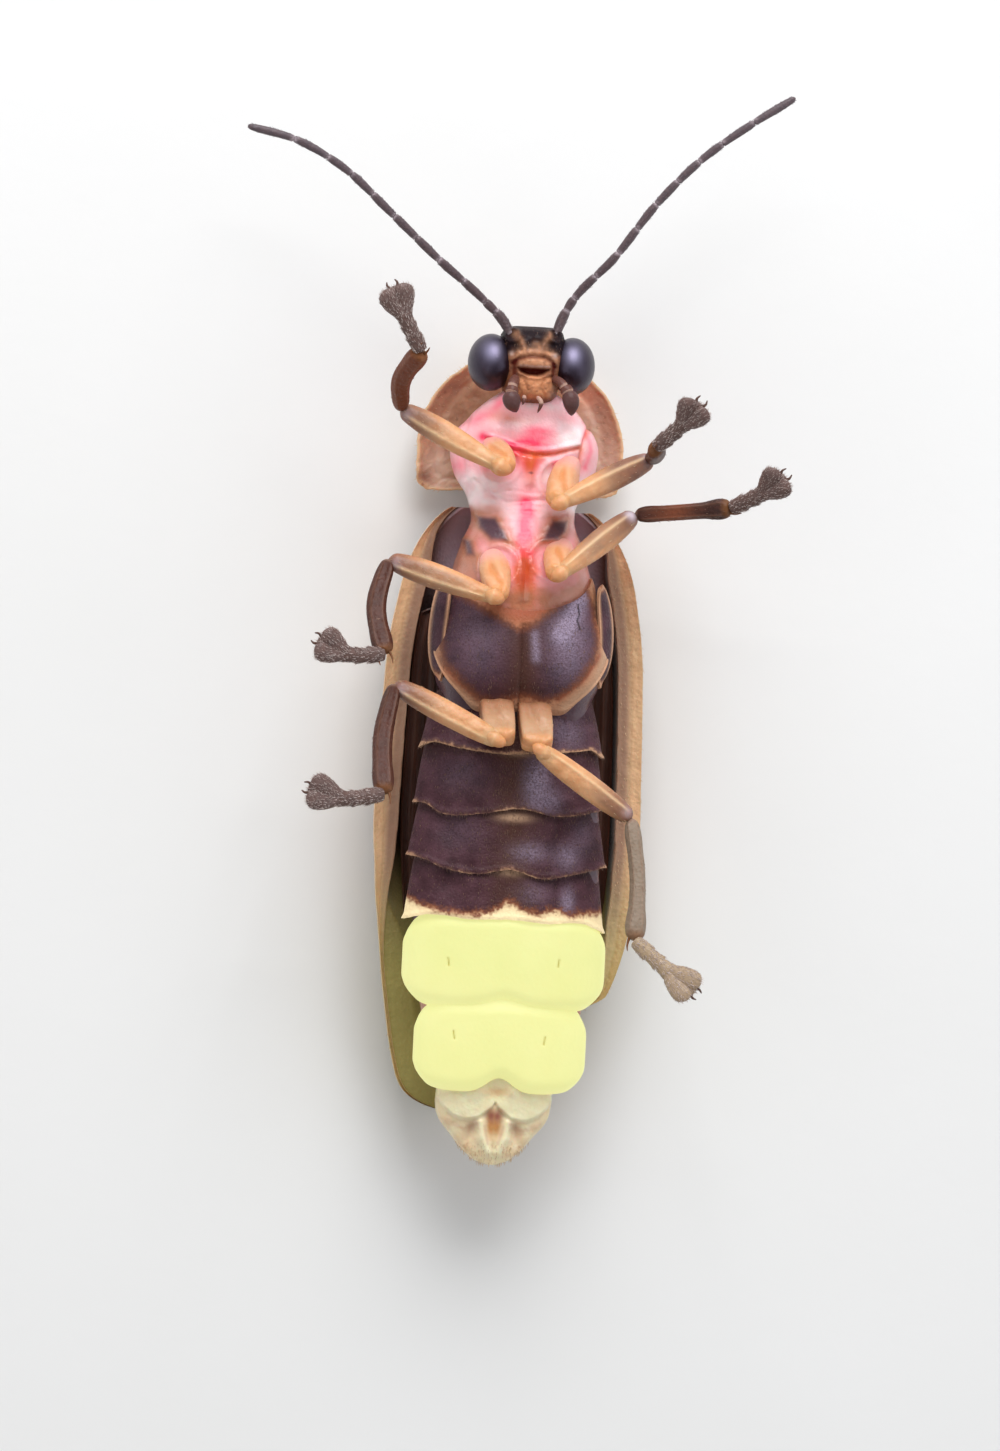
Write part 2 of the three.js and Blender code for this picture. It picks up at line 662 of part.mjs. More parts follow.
function legParts(leg) {
  const size = PAIRS[leg.pair];
  const hip = placed(leg.hip, leg.side);
  const thigh = limbLine(leg, hip, leg.femur, size.femur);
  const shank = limbLine(leg, thigh.end, leg.tibia, size.tibia);
  const foot = limbLine(leg, shank.end, leg.tarsus, size.tarsus);
  const femur = limb(thigh.curve, femurWidths, { rings: 8 });
  const femurRoom = limb(thigh.curve, femurWidths, { rings: 8, grow: CUT });
  const tibiaRoom = limb(shank.curve, tibiaWidths, { rings: 8, grow: CUT });
  const tibia = limb(shank.curve, tibiaWidths, { rings: 8 });
  const tarsus = limb(foot.curve, tarsusWidths(), { rings: 16, sides: 8 });
  const claws = [-1, 1].map((out) => {
    const ahead = foot.curve.getTangentAt(1);
    const side = ahead.clone().cross(new THREE.Vector3(0, 0, 1)).normalize();
    const root = foot.curve.getPointAt(0.94);
    const tip = root.clone().addScaledVector(ahead, 0.22).addScaledVector(side, out * 0.16);
    const line = new THREE.LineCurve3(root, tip.setZ(tip.z + 0.05));
    return limb(line, [[0, 0.16, 0.16], [1, 0.05, 0.05]], { rings: 2, sides: 6 });
  });
  return {
    femur: femur.subtract(coxaSolid(leg, CUT)),
    tibia: tibia.subtract(femurRoom),
    tarsus: wasm.Manifold.union([tarsus, ...claws]).subtract(tibiaRoom),
  };
}

// Feelers: eleven joints, each a little wider at its end, parted into three lengths.

function antennaSolids(side) {
  const curve = curveThrough(ANTENNA_PATHS[side].map((p) => placed(p, side)));
  const length = curve.getLength();
  const half = CUT / 2 / length;
  return ANTENNA_LENGTHS.map(([name, from, to]) => {
    const start = from === 0 ? 0 : from + half;
    const end = to === 1 ? 1 : to - half;
    const points = steps(8).map((t) => curve.getPointAt(mix(start, end, t)));
    const widths = steps(16).map((t) => {
      const share = mix(start, end, t);
      const swell = 0.93 + 0.14 * ((share * ANTENNA.joints) % 1);
      const root = share < 0.08 ? ANTENNA.root : ANTENNA.neck;
      const width = mix(root, ANTENNA.tip, share) * swell * (share > 0.97 ? 0.7 : 1);
      return [t, width, width];
    });
    const length = limb(curveThrough(points), widths, { rings: 14, sides: 8 });
    const around = wasm.Manifold.union([feelerSocketSolid(side, CUT), eyeSolid(side, CUT)]);
    return [name, length.subtract(around)];
  });
}

// The whole insect

const firefly = new THREE.Group();
const addPart = (name, solid, material) => firefly.add(meshOf(name, solid, material));

addPart("pronotum", shieldSolid(), MATERIALS.shield);
addPart("head", headSolid(), MATERIALS.head);
addPart("prothorax", prothoraxSolid(), MATERIALS.flesh);
addPart("mesothorax", mesothoraxSolid(), MATERIALS.flesh);
addPart("metathorax", metathoraxSolid(), MATERIALS.plate);
for (const segment of ABDOMEN) addPart(segment.name, abdomenSolid(segment), MATERIALS.plate);
for (const lantern of LANTERNS) addPart(lantern.name, lanternSolid(lantern), MATERIALS.lantern);
addPart("tail_segment_8", tailSolid(), MATERIALS.tail);

for (const side of Object.keys(SIDES)) {
  addPart(`eye_${side}`, eyeSolid(side), MATERIALS.eye);
  addPart(`elytron_${side}`, elytronSolid(side), MATERIALS.wingCase);
  addPart(`hindwing_${side}`, wingSolid(side), MATERIALS.wing);
  for (const [name, solid] of antennaSolids(side)) {
    addPart(`antenna_${side}_${name}`, solid, MATERIALS.feeler);
  }
}

for (const leg of LEGS) {
  const parts = legParts(leg);
  addPart(`leg_${leg.side}_${leg.pair}_femur`, parts.femur, MATERIALS.limb);
  addPart(`leg_${leg.side}_${leg.pair}_tibia`, parts.tibia, MATERIALS.shank);
  addPart(`leg_${leg.side}_${leg.pair}_tarsus`, parts.tarsus, MATERIALS.foot);
}

export default firefly;
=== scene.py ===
# %% [markdown]
# # A firefly on its back
#
# This notebook dresses the plain solids of a firefly with the shells, soft skin, hairs and finishes
# of the real beetle. The solids were drawn in millimetres and packed as a fixed frame in metres.
# Every piece made here goes to the same place as the solid that it stands for.
#
# The insect lies on its back, so +Z points out of the belly, +Y runs towards the head and +X
# towards the insect's own left side. We look down at the belly.

# %% Loading the frame
import math

import bmesh
import bpy
import numpy as np
from mathutils import Matrix, Vector


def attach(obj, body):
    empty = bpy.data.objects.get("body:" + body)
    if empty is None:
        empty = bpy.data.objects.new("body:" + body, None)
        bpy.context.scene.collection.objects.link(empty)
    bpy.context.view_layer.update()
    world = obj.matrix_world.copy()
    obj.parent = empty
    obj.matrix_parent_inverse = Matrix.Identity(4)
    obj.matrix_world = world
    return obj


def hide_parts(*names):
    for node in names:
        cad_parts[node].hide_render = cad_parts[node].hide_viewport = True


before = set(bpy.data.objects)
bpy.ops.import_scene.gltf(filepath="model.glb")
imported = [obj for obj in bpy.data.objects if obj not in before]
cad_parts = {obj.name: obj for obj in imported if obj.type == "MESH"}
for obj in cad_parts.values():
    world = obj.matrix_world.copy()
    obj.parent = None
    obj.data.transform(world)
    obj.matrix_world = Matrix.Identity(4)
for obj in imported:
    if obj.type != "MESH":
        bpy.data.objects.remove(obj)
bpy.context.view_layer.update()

MM = 0.001
print(len(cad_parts), "solids in the frame")

# %% [markdown]
# ## The camera
#
# A macro photo of a small insect is taken with a long lens from well away, so the picture is almost
# free of perspective. The camera looks along the belly's normal, leant 6 degrees towards the
# insect's right, and is rolled by under 3 degrees. One pixel of the photo is 0.017 mm at the belly.
# The lens follows from those numbers: a full-frame sensor is 36 mm on its long side, and the long
# side of the picture spans 24.7 mm at the distance of the insect.

# %% Camera
PHOTO_HEIGHT = 1451
PIXEL = 0.017
CAMERA_DISTANCE = 160
CAMERA_LEAN = math.radians(6)
CAMERA_ROLL = math.radians(2.74)
LOOKS_AT = Vector((-0.3134, -5.0628, 2.5))

view_back = Vector((-math.sin(CAMERA_LEAN), 0, math.cos(CAMERA_LEAN)))
level_right = Vector((math.cos(CAMERA_LEAN), 0, math.sin(CAMERA_LEAN)))
view_right = level_right * math.cos(CAMERA_ROLL) + Vector((0, 1, 0)) * math.sin(CAMERA_ROLL)
view_up = view_back.cross(view_right)

camera = bpy.data.objects.new("camera", bpy.data.cameras.new("camera"))
bpy.context.collection.objects.link(camera)
camera_place = (LOOKS_AT + view_back * CAMERA_DISTANCE) * MM
camera.matrix_world = Matrix.Translation(camera_place) @ Matrix(
    (view_right, view_up, view_back)
).transposed().to_4x4()
camera.data.sensor_width = 36
camera.data.lens = 36 * CAMERA_DISTANCE / (PHOTO_HEIGHT * PIXEL)
camera.data.clip_start = 0.01
camera.data.clip_end = 10
bpy.context.scene.camera = camera
print("lens", round(camera.data.lens, 1), "mm")

# %% [markdown]
# ## Soft studio light and a pale floor
#
# Insects are lit through large diffusers, because a bare lamp burns small hard spots into their
# glossy shells. One big soft box stands beyond the head, high up: it makes part of the broad
# highlight on the upper half of each eye, and the rest is a painted highlight in the eyes' colour.
# A stronger, smaller flash inside its beam brightens wet places, and two wide, weak boxes fill in
# from the sides. Lamps are sized for the insect, tens of millimetres, or the shadows would vanish.

# %% Lights and floor
def soft_box(name, place, size, power, tint):
    lamp = bpy.data.lights.new(name, "AREA")
    lamp.shape = "SQUARE"
    lamp.size = size * MM
    lamp.energy = power
    lamp.color = tint
    box = bpy.data.objects.new(name, lamp)
    bpy.context.collection.objects.link(box)
    aim = (LOOKS_AT - Vector(place)).to_track_quat("-Z", "Y").to_matrix().to_4x4()
    box.matrix_world = Matrix.Translation(Vector(place) * MM) @ aim
    return box


soft_box("head_light", (6, 74, 58), 110, 0.03, (1, 0.985, 0.97))
soft_box("flash", (2, 74, 62), 66, 0.088, (0.98, 0.98, 1))
soft_box("side_light", (80, -24, 50), 96, 0.03, (0.95, 0.97, 1))
soft_box("fill_light", (-78, -30, 56), 96, 0.028, (1, 0.98, 0.96))

room = bpy.data.worlds.new("pale_room")
bpy.context.scene.world = room
room.use_nodes = True
room.node_tree.nodes["Background"].inputs["Color"].default_value = (0.95, 0.97, 1, 1)
room.node_tree.nodes["Background"].inputs["Strength"].default_value = 0.28
bpy.context.scene.view_settings.view_transform = "Standard"

floor_mesh = bpy.data.meshes.new("floor")
FLOOR_REACH = 0.6
corners = [(x * FLOOR_REACH, y * FLOOR_REACH, 0) for x, y in ((-1, -1), (1, -1), (1, 1), (-1, 1))]
floor_mesh.from_pydata(corners, [], [(0, 1, 2, 3)])
floor = bpy.data.objects.new("floor", floor_mesh)
bpy.context.collection.objects.link(floor)

# %% [markdown]
# ## Rules for shapes
#
# Almost nothing on an insect is a box or a cylinder, but nearly every form follows a few rules: a
# width that changes along an axis, a soft hill, a crease along a line. The next cells hold those
# rules. They take whole arrays of points, so that a fine surface costs no more lines than a coarse
# one, and every random draw comes from a fixed formula, so each run gives the same insect.

# %% Rules for numbers
def blend(a, b, share):
    return a + (b - a) * share


def ease(t):
    t = np.clip(t, 0, 1)
    return t * t * (3 - 2 * t)


def rooted(value, exponent):
    return np.sign(value) * np.abs(value) ** exponent


def follow(stations, at):
    """Smooth values between stations. The first number of a station is its place."""
    rows = np.array(sorted(stations), float)
    place, values = rows[:, 0], rows[:, 1:]
    slope = np.gradient(values, place, axis=0)
    at = np.clip(at, place[0], place[-1])
    k = np.clip(np.searchsorted(place, at, side="right") - 1, 0, len(place) - 2)
    span = (place[k + 1] - place[k])[..., None]
    t = (at - place[k])[..., None] / span
    bend = span * (slope[k] * (t - 1) + slope[k + 1] * t) * t * (t - 1)
    return np.moveaxis(blend(values[k], values[k + 1], t * t * (3 - 2 * t)) + bend, -1, 0)


# %% Rules for surfaces
def hill(x, y, middle, size, turn=0.0):
    """A soft oval hill, 1 at its middle."""
    c, s = math.cos(math.radians(turn)), math.sin(math.radians(turn))
    dx, dy = x - middle[0], y - middle[1]
    return np.exp(-(((dx * c + dy * s) / size[0]) ** 2) - ((dy * c - dx * s) / size[1]) ** 2)


def distance(x, y, points):
    best = np.full(np.shape(x), 1e9)
    for (ax, ay), (bx, by) in zip(points, points[1:]):
        dx, dy = bx - ax, by - ay
        t = np.clip(((x - ax) * dx + (y - ay) * dy) / (dx * dx + dy * dy), 0, 1)
        best = np.minimum(best, np.hypot(x - ax - t * dx, y - ay - t * dy))
    return best


def crease(x, y, points, width):
    """1 along a line of points, fading out within its width."""
    return np.exp(-((distance(x, y, points) / width) ** 2))


def bumps(x, y, spots, lines=()):
    """Adds up hills and creases.

    A spot is its height, place, size and turn. A line is its height, width and points.
    """
    total = 0.0
    for height, at_x, at_y, wide, high, *turn in spots:
        total = total + height * hill(x, y, (at_x, at_y), (wide, high), *turn)
    for height, width, points in lines:
        total = total + height * crease(x, y, points, width)
    return total


def within(x, y, corners, soft):
    """1 inside an outline and 0 outside, with a soft border."""
    inside = np.zeros(np.shape(x), bool)
    closed = list(corners) + [corners[0]]
    for (ax, ay), (bx, by) in zip(closed, closed[1:]):
        crosses = (ay > y) != (by > y)
        inside ^= crosses & (x < (bx - ax) * (y - ay) / (by - ay + 1e-12) + ax)
    signed = np.where(inside, 1, -1) * distance(x, y, closed)
    return ease(signed / soft * 0.5 + 0.5)


def mottle(x, y, size, seed):
    """Smooth random hills between -1 and 1, about one size apart."""
    u, v = x / size, y / size
    iu, iv = np.floor(u), np.floor(v)

    def draw(a, b):
        value = np.sin(a * 127.1 + b * 311.7 + seed * 74.7) * 43758.5453
        return (value - np.floor(value)) * 2 - 1

    fu, fv = ease(u - iu), ease(v - iv)
    near = blend(draw(iu, iv), draw(iu + 1, iv), fu)
    return blend(near, blend(draw(iu, iv + 1), draw(iu + 1, iv + 1), fu), fv)


def mirrored(points, side):
    return [(side * x, *rest) for x, *rest in points]


# %% [markdown]
# ## From points to closed shells
#
# Each form is a set of rings of points in millimetres, joined into a closed shell. `Clay` gathers
# one or more shells and makes one object of them in metres, at the origin and unturned, as the
# solids are. It also keeps a UV map of the surface and named marks: a number at each point that
# says, for example, how pink the skin is there. The finishes read those marks, so that a marking
# stays on its fold however the surface is shaped.

# %% Clay
class Clay:
    def __init__(self):
        self.points, self.faces, self.uvs, self.marks = [], [], [], []
        self.count = 0

    def _add(self, points, faces, uvs, marks):
        self.points.append(points)
        self.faces += [[i + self.count for i in face] for face in faces]
        self.uvs += uvs
        self.marks.append((len(points), marks))
        self.count += len(points)

    def shell(self, rings, marks, fan=True):
        """Closed skin through rings of points. fan=False closes flat ends with a strip."""
        rows, around = rings.shape[:2]
        r, c = np.meshgrid(np.arange(rows - 1), np.arange(around), indexing="ij")
        a, b = r * around + c, r * around + (c + 1) % around
        faces = np.stack([a, b, b + around, a + around], -1).reshape(-1, 4).tolist()
        low, high = r / (rows - 1), (r + 1) / (rows - 1)
        left, right = c / around, (c + 1) / around
        uv = np.stack([left, low, right, low, right, high, left, high], -1).reshape(-1).tolist()
        points = rings.reshape(-1, 3)
        flat = {n: np.asarray(v, float) for n, v in marks.items()}
        flat = {n: v.reshape(rows * around, *v.shape[2:]) for n, v in flat.items()}
        last = (rows - 1) * around
        if fan:
            points = np.vstack([points, rings[0].mean(0), rings[-1].mean(0)])
            for name, values in flat.items():
                ends = np.stack([values[:around].mean(0), values[last:].mean(0)])
                flat[name] = np.concatenate([values, ends])
            for i in range(around):
                j = (i + 1) % around
                faces += [[last + around, j, i], [last + around + 1, last + i, last + j]]
                uv += [(i + 0.5) / around, 0, (i + 1) / around, 0, i / around, 0]
                uv += [(i + 0.5) / around, 1, i / around, 1, (i + 1) / around, 1]
        else:
            half = around // 2
            for start, v in ((0, 0), (last, 1)):
                for i in range(half - 1):
                    quad = [start + i, start + i + 1, start + around - 2 - i, start + around - 1 - i]
                    faces.append(quad if start else quad[::-1])
                    uv += [i / around, v, (i + 1) / around, v, (i + 1) / around, v, i / around, v]
        self._add(points, faces, uv, flat)

    def plate(self, top, thickness, marks, out=(0, 0, 1)):
        """A thin plate under a grid of points. out is the way that its top side faces."""
        along, across = np.gradient(top, axis=0), np.gradient(top, axis=1)
        normal = np.cross(along, across)
        normal /= np.linalg.norm(normal, axis=-1, keepdims=True) + 1e-12
        if (normal @ np.array(out, float)).sum() < 0:
            normal = -normal
        under = top - normal * thickness
        both = {n: np.concatenate([v, v[:, ::-1]], 1) for n, v in marks.items()}
        self.shell(np.concatenate([top, under[:, ::-1]], 1), both, fan=False)

    def make(self, name, crisp=50):
        mesh = bpy.data.meshes.new(name)
        points = np.concatenate(self.points) * MM
        mesh.from_pydata(points.tolist(), [], self.faces)
        uv_map = mesh.uv_layers.new(name="skin_uv")
        uv_map.data.foreach_set("uv", self.uvs)
        for mark in sorted({n for _, marks in self.marks for n in marks}):
            shapes = [m[mark].shape[1:] for _, m in self.marks if mark in m]
            vector = bool(shapes[0])
            blank = (3,) if vector else ()
            parts = [m.get(mark, np.zeros((count, *blank))) for count, m in self.marks]
            layer = mesh.attributes.new(mark, "FLOAT_VECTOR" if vector else "FLOAT", "POINT")
            layer.data.foreach_set("vector" if vector else "value", np.concatenate(parts).reshape(-1))
        work = bmesh.new()
        work.from_mesh(mesh)
        bmesh.ops.recalc_face_normals(work, faces=work.faces)
        work.to_mesh(mesh)
        work.free()
        mesh.shade_smooth()
        mesh.set_sharp_from_angle(angle=math.radians(crisp))
        piece = bpy.data.objects.new(name, mesh)
        bpy.context.collection.objects.link(piece)
        return piece


# %% [markdown]
# ## Limbs
#
# A leg joint, a feeler joint and a mouth feeler are all tubes with an oval section that swells and
# narrows along a bent line. The frame of the tube follows the line, and both ends are closed like
# half an egg, because real joints are rounded knobs that sit in one another.

# %% Lines and limbs
def bent_line(points, count):
    """A smooth line through points, with evenly spaced steps."""
    points = np.array(points, float)
    for samples in (400, count):
        chord = np.r_[0, np.cumsum(np.linalg.norm(np.diff(points, axis=0), axis=1))]
        stations = [(d, *p) for d, p in zip(chord, points)]
        points = follow(stations, np.linspace(0, chord[-1], samples)).T
    return points


def limb_rings(line, widths, around, ends):
    """Rings of a tube. widths holds stations of share, width and depth, ends the round ends' shares."""
    rows = len(line)
    share = np.linspace(0, 1, rows)
    share = blend(share, (1 - np.cos(share * np.pi)) / 2, 0.6)
    chord = np.linspace(0, 1, rows)
    centre = np.stack([np.interp(share, chord, line[:, k]) for k in range(3)], -1)
    ahead = np.gradient(centre, axis=0)
    ahead /= np.linalg.norm(ahead, axis=1, keepdims=True)
    side = np.cross(ahead, (0.0, 0.0, 1.0))
    side /= np.linalg.norm(side, axis=1, keepdims=True)
    rise = np.cross(side, ahead)
    wide, deep = follow(widths, share) / 2
    closing = np.sqrt(1 - np.clip(1 - share / ends[0], 0, 0.97) ** 2)
    closing = closing * np.sqrt(1 - np.clip(1 - (1 - share) / ends[1], 0, 0.97) ** 2)
    angle = np.arange(around) / around * 2 * np.pi
    across = side[:, None] * (np.cos(angle) * (wide * closing)[:, None])[..., None]
    height = rise[:, None] * (np.sin(angle) * (deep * closing)[:, None])[..., None]
    return centre[:, None] + across + height, share, ahead


def add_limb(clay, line, widths, marks, ends, around=20):
    """Adds a tube. Its marks are numbers, or rules of the share of its length."""
    rings, share, ahead = limb_rings(line, widths, around, ends)
    grid = np.ones(rings.shape[:2])
    laid = {"lie": grid[..., None] * ahead[:, None]}
    for name, rule in marks.items():
        laid[name] = grid * (rule(share)[:, None] if callable(rule) else rule)
    clay.shell(rings, laid)


def ball_rings(radii, rows, around, pole):
    """Rings of an egg round its pole. radii are across, across and along the pole."""
    angle = np.linspace(0.02, 1, rows) * np.pi * 0.99
    turn = np.arange(around) / around * 2 * np.pi
    local = np.stack([
        np.outer(np.sin(angle), np.cos(turn)) * radii[0],
        np.outer(np.sin(angle), np.sin(turn)) * radii[1],
        np.outer(np.cos(angle), np.ones(around)) * radii[2],
    ], -1)
    spin = np.array(Vector(pole).to_track_quat("Z", "Y").to_matrix())
    return local @ spin.T

# %% [markdown]
# ## Finishes
#
# A finish is a material made of nodes. Two small helpers keep it readable. `Wire` wraps one number
# that runs between nodes, so that `noise * 0.4 + 0.6` writes the maths nodes itself. `Finish` holds
# the shader and adds any other node. Patterns are laid out in millimetres of the insect's own
# space, and colours are written as they look on a screen, 0 to 255, and turned linear.

# %% Wires and finishes
def colour(red, green, blue):
    return tuple(((v / 255 + 0.055) / 1.055) ** 2.4 if v > 10 else v / 255 / 12.92
                 for v in (red, green, blue)) + (1,)


def add_node(tree, kind, settings=None, inputs=None):
    """A node of a tree, its settings, and its inputs, as numbers or as wires from other nodes."""
    node = tree.nodes.new(kind)
    for key, value in (settings or {}).items():
        setattr(node, key, value)
    for key, value in (inputs or {}).items():
        value = getattr(value, "socket", value)
        if isinstance(value, bpy.types.NodeSocket):
            tree.links.new(value, node.inputs[key])
        else:
            node.inputs[key].default_value = value
    return node


class Wire:
    def __init__(self, finish, socket):
        self.finish, self.socket = finish, socket

    def _maths(self, operation, a, b):
        node = self.finish.node("ShaderNodeMath", {"operation": operation}, {0: a, 1: b})
        return Wire(self.finish, node.outputs[0])

    def __add__(self, other):
        return self._maths("ADD", self, other)

    def __sub__(self, other):
        return self._maths("SUBTRACT", self, other)

    def __mul__(self, other):
        return self._maths("MULTIPLY", self, other)

    def between(self, low, high):
        """0 below low and 1 above high, with a soft step."""
        settings = {"interpolation_type": "SMOOTHSTEP"}
        node = self.finish.node("ShaderNodeMapRange", settings, {0: self, 1: low, 2: high})
        return Wire(self.finish, node.outputs[0])


class Finish:
    def __init__(self, name, **fixed):
        self.material = bpy.data.materials.new(name)
        self.material.use_nodes = True
        self.tree = self.material.node_tree
        self.shader = self.tree.nodes["Principled BSDF"]
        for socket, value in fixed.items():
            self.shader.inputs[socket.replace("_", " ")].default_value = value
        place = self.node("ShaderNodeTexCoord").outputs["Object"]
        scaled = self.node("ShaderNodeVectorMath", {"operation": "SCALE"}, {0: place, "Scale": 1 / MM})
        self.place = scaled.outputs[0]

    def node(self, kind, settings=None, inputs=None):
        return add_node(self.tree, kind, settings, inputs)

    def mark(self, name):
        node = self.node("ShaderNodeAttribute", {"attribute_name": name})
        return Wire(self, node.outputs["Fac"])

    def noise(self, size, detail=3.0, rough=0.55, stretch=None):
        """Soft random spots about one size in mm across, 0 to 1, drawn out along a stretch."""
        place = self.place
        if stretch:
            inputs = {0: place, 1: stretch}
            place = self.node("ShaderNodeVectorMath", {"operation": "MULTIPLY"}, inputs).outputs[0]
        inputs = {"Scale": 1 / size, "Detail": detail, "Roughness": rough, "Vector": place}
        return Wire(self, self.node("ShaderNodeTexNoise", None, inputs).outputs["Fac"])

    def cells(self, size):
        """Distance from the middle of the nearest of many small cells, one size in mm apart."""
        inputs = {"Scale": 1 / size, "Vector": self.place}
        return Wire(self, self.node("ShaderNodeTexVoronoi", None, inputs).outputs["Distance"])

    def mix(self, a, b, share):
        """A colour between a and b. A share under 0 counts as 0, and one over 1 as 1."""
        node = self.node("ShaderNodeMix", {"data_type": "RGBA"}, {0: share, 6: a, 7: b})
        return node.outputs[2]

    def paint(self, under, **coats):
        """Lays colours over one another. Each is a mark's name, its colour and its strength."""
        for mark, (*tint, strength) in coats.items():
            under = self.mix(under, colour(*tint), self.mark(mark) * strength)
        return under

    def relief(self, height, depth):
        """Bump of a height from 0 to 1. depth is in mm."""
        inputs = {"Height": height, "Distance": depth * MM, "Strength": 1.0}
        self.tree.links.new(self.node("ShaderNodeBump", None, inputs).outputs[0],
                            self.shader.inputs["Normal"])

    def use(self, **sockets):
        for name, value in sockets.items():
            value = value.socket if isinstance(value, Wire) else value
            self.tree.links.new(value, self.shader.inputs[name.replace("_", " ")])


# %% Handing a piece over
made = {}


def hand_over(piece, finish, slot, *nodes):
    """Gives a piece its finish, lets it ride on the body, and hides the solids it stands for."""
    piece.data.materials.clear()
    piece.data.materials.append(finish.material)
    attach(piece, "root")
    if nodes:
        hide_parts(*nodes)
    made[piece.name] = sum(len(face.vertices) - 2 for face in piece.data.polygons)
    print(piece.name, made[piece.name], "triangles")
    return piece

# %% [markdown]
# ## The body's skin
#
# Under its plates an insect is one soft bag. On this firefly the bag shows between the shield and
# the dark breast: pink and cream, moist, with creases where it folds, and fine wrinkles where the
# neck bends. It could be sculpted by hand, but a loft through oval sections keeps the solids'
# sizes, and hills and creases laid on it in millimetres put each fold where it belongs. One skin
# runs from the neck to the tail, so there is no seam under the plates either.

# %% Sections of the body
SQUARENESS = 0.74
BELLY_REACH = 1.75
WRINKLE = 0.13
# place along the body, half width, back, belly, and height of the widest place
BODY = [
    (0.72, 0.34, 1.5, 2.02, 1.75), (0.5, 0.66, 1.25, 2.16, 1.6), (0.16, 1.0, 0.95, 2.12, 1.35),
    (-0.05, 1.18, 0.86, 2.16, 1.3), (-0.4, 1.27, 0.86, 2.22, 1.32), (-0.85, 1.16, 0.95, 2.24, 1.4),
    (-1.14, 0.98, 1.0, 2.24, 1.5), (-1.4, 0.88, 1.02, 2.3, 1.56), (-1.6, 0.88, 1.02, 2.4, 1.6),
    (-1.9, 1.0, 0.94, 2.55, 1.62), (-2.4, 1.16, 0.92, 2.72, 1.66), (-2.78, 1.24, 0.96, 2.76, 1.72),
    (-3.05, 1.28, 1.2, 2.72, 1.8), (-3.4, 1.4, 1.46, 2.78, 1.85), (-3.9, 1.46, 1.48, 2.84, 1.9),
    (-4.3, 1.4, 1.48, 2.8, 1.9), (-4.75, 1.25, 1.48, 2.5, 1.88), (-5.1, 1.36, 1.48, 2.26, 1.86),
    (-6.4, 1.5, 1.48, 2.32, 1.86), (-8.3, 1.58, 1.48, 2.32, 1.86), (-9.3, 1.58, 1.48, 2.26, 1.86),
    (-9.9, 1.38, 1.48, 2.2, 1.86), (-10.6, 1.32, 1.48, 2.16, 1.86), (-11.15, 1.06, 1.48, 2.06, 1.82),
    (-11.5, 0.8, 1.48, 1.94, 1.76), (-12.1, 0.4, 1.52, 1.8, 1.68),
]


def body_point(y, angle, stations=BODY):
    """Place on the body at y, turned by an angle from the middle of the belly."""
    wide, back, belly, edge = follow(stations, y)
    across, up = rooted(np.sin(angle), SQUARENESS), rooted(np.cos(angle), SQUARENESS)
    height = np.where(up > 0, belly - edge, edge - back)
    return np.stack([across * wide, y + 0 * angle, edge + up * height], -1)


# %% Folds and marks of the soft skin
NECK_RIDGE = [(-0.72, -0.2), (-0.3, -0.36), (0.06, -0.44), (0.42, -0.4), (0.84, -0.27)]
SIDE_FOLD = [(1.12, 0.2), (0.92, -0.2), (0.86, -0.62), (0.62, -1.2)]
LEFT_FOLD = [(-1.0, 0.24), (-1.16, -0.3), (-1.06, -0.86)]
STEM = [(0.02, -0.46), (0.03, -0.9)]
KEEL = [(-0.02, -2.1), (-0.02, -2.9)]
MIDLINE = [(-0.02, -1.3), (-0.05, -1.75), (-0.05, -2.1)]
DARK_SHIELDS = [
    [(-0.82, -1.5), (-0.52, -1.52), (-0.36, -1.78), (-0.32, -1.93), (-0.62, -1.93), (-0.8, -1.72)],
    [(0.42, -1.52), (0.7, -1.52), (0.66, -1.72), (0.52, -1.88), (0.22, -1.9), (0.34, -1.66)],
    [(-1.04, -1.86), (-0.9, -1.94), (-0.86, -2.2), (-1.0, -2.2)],
    [(0.9, -1.8), (1.06, -1.92), (1.02, -2.2), (0.9, -2.1)],
]


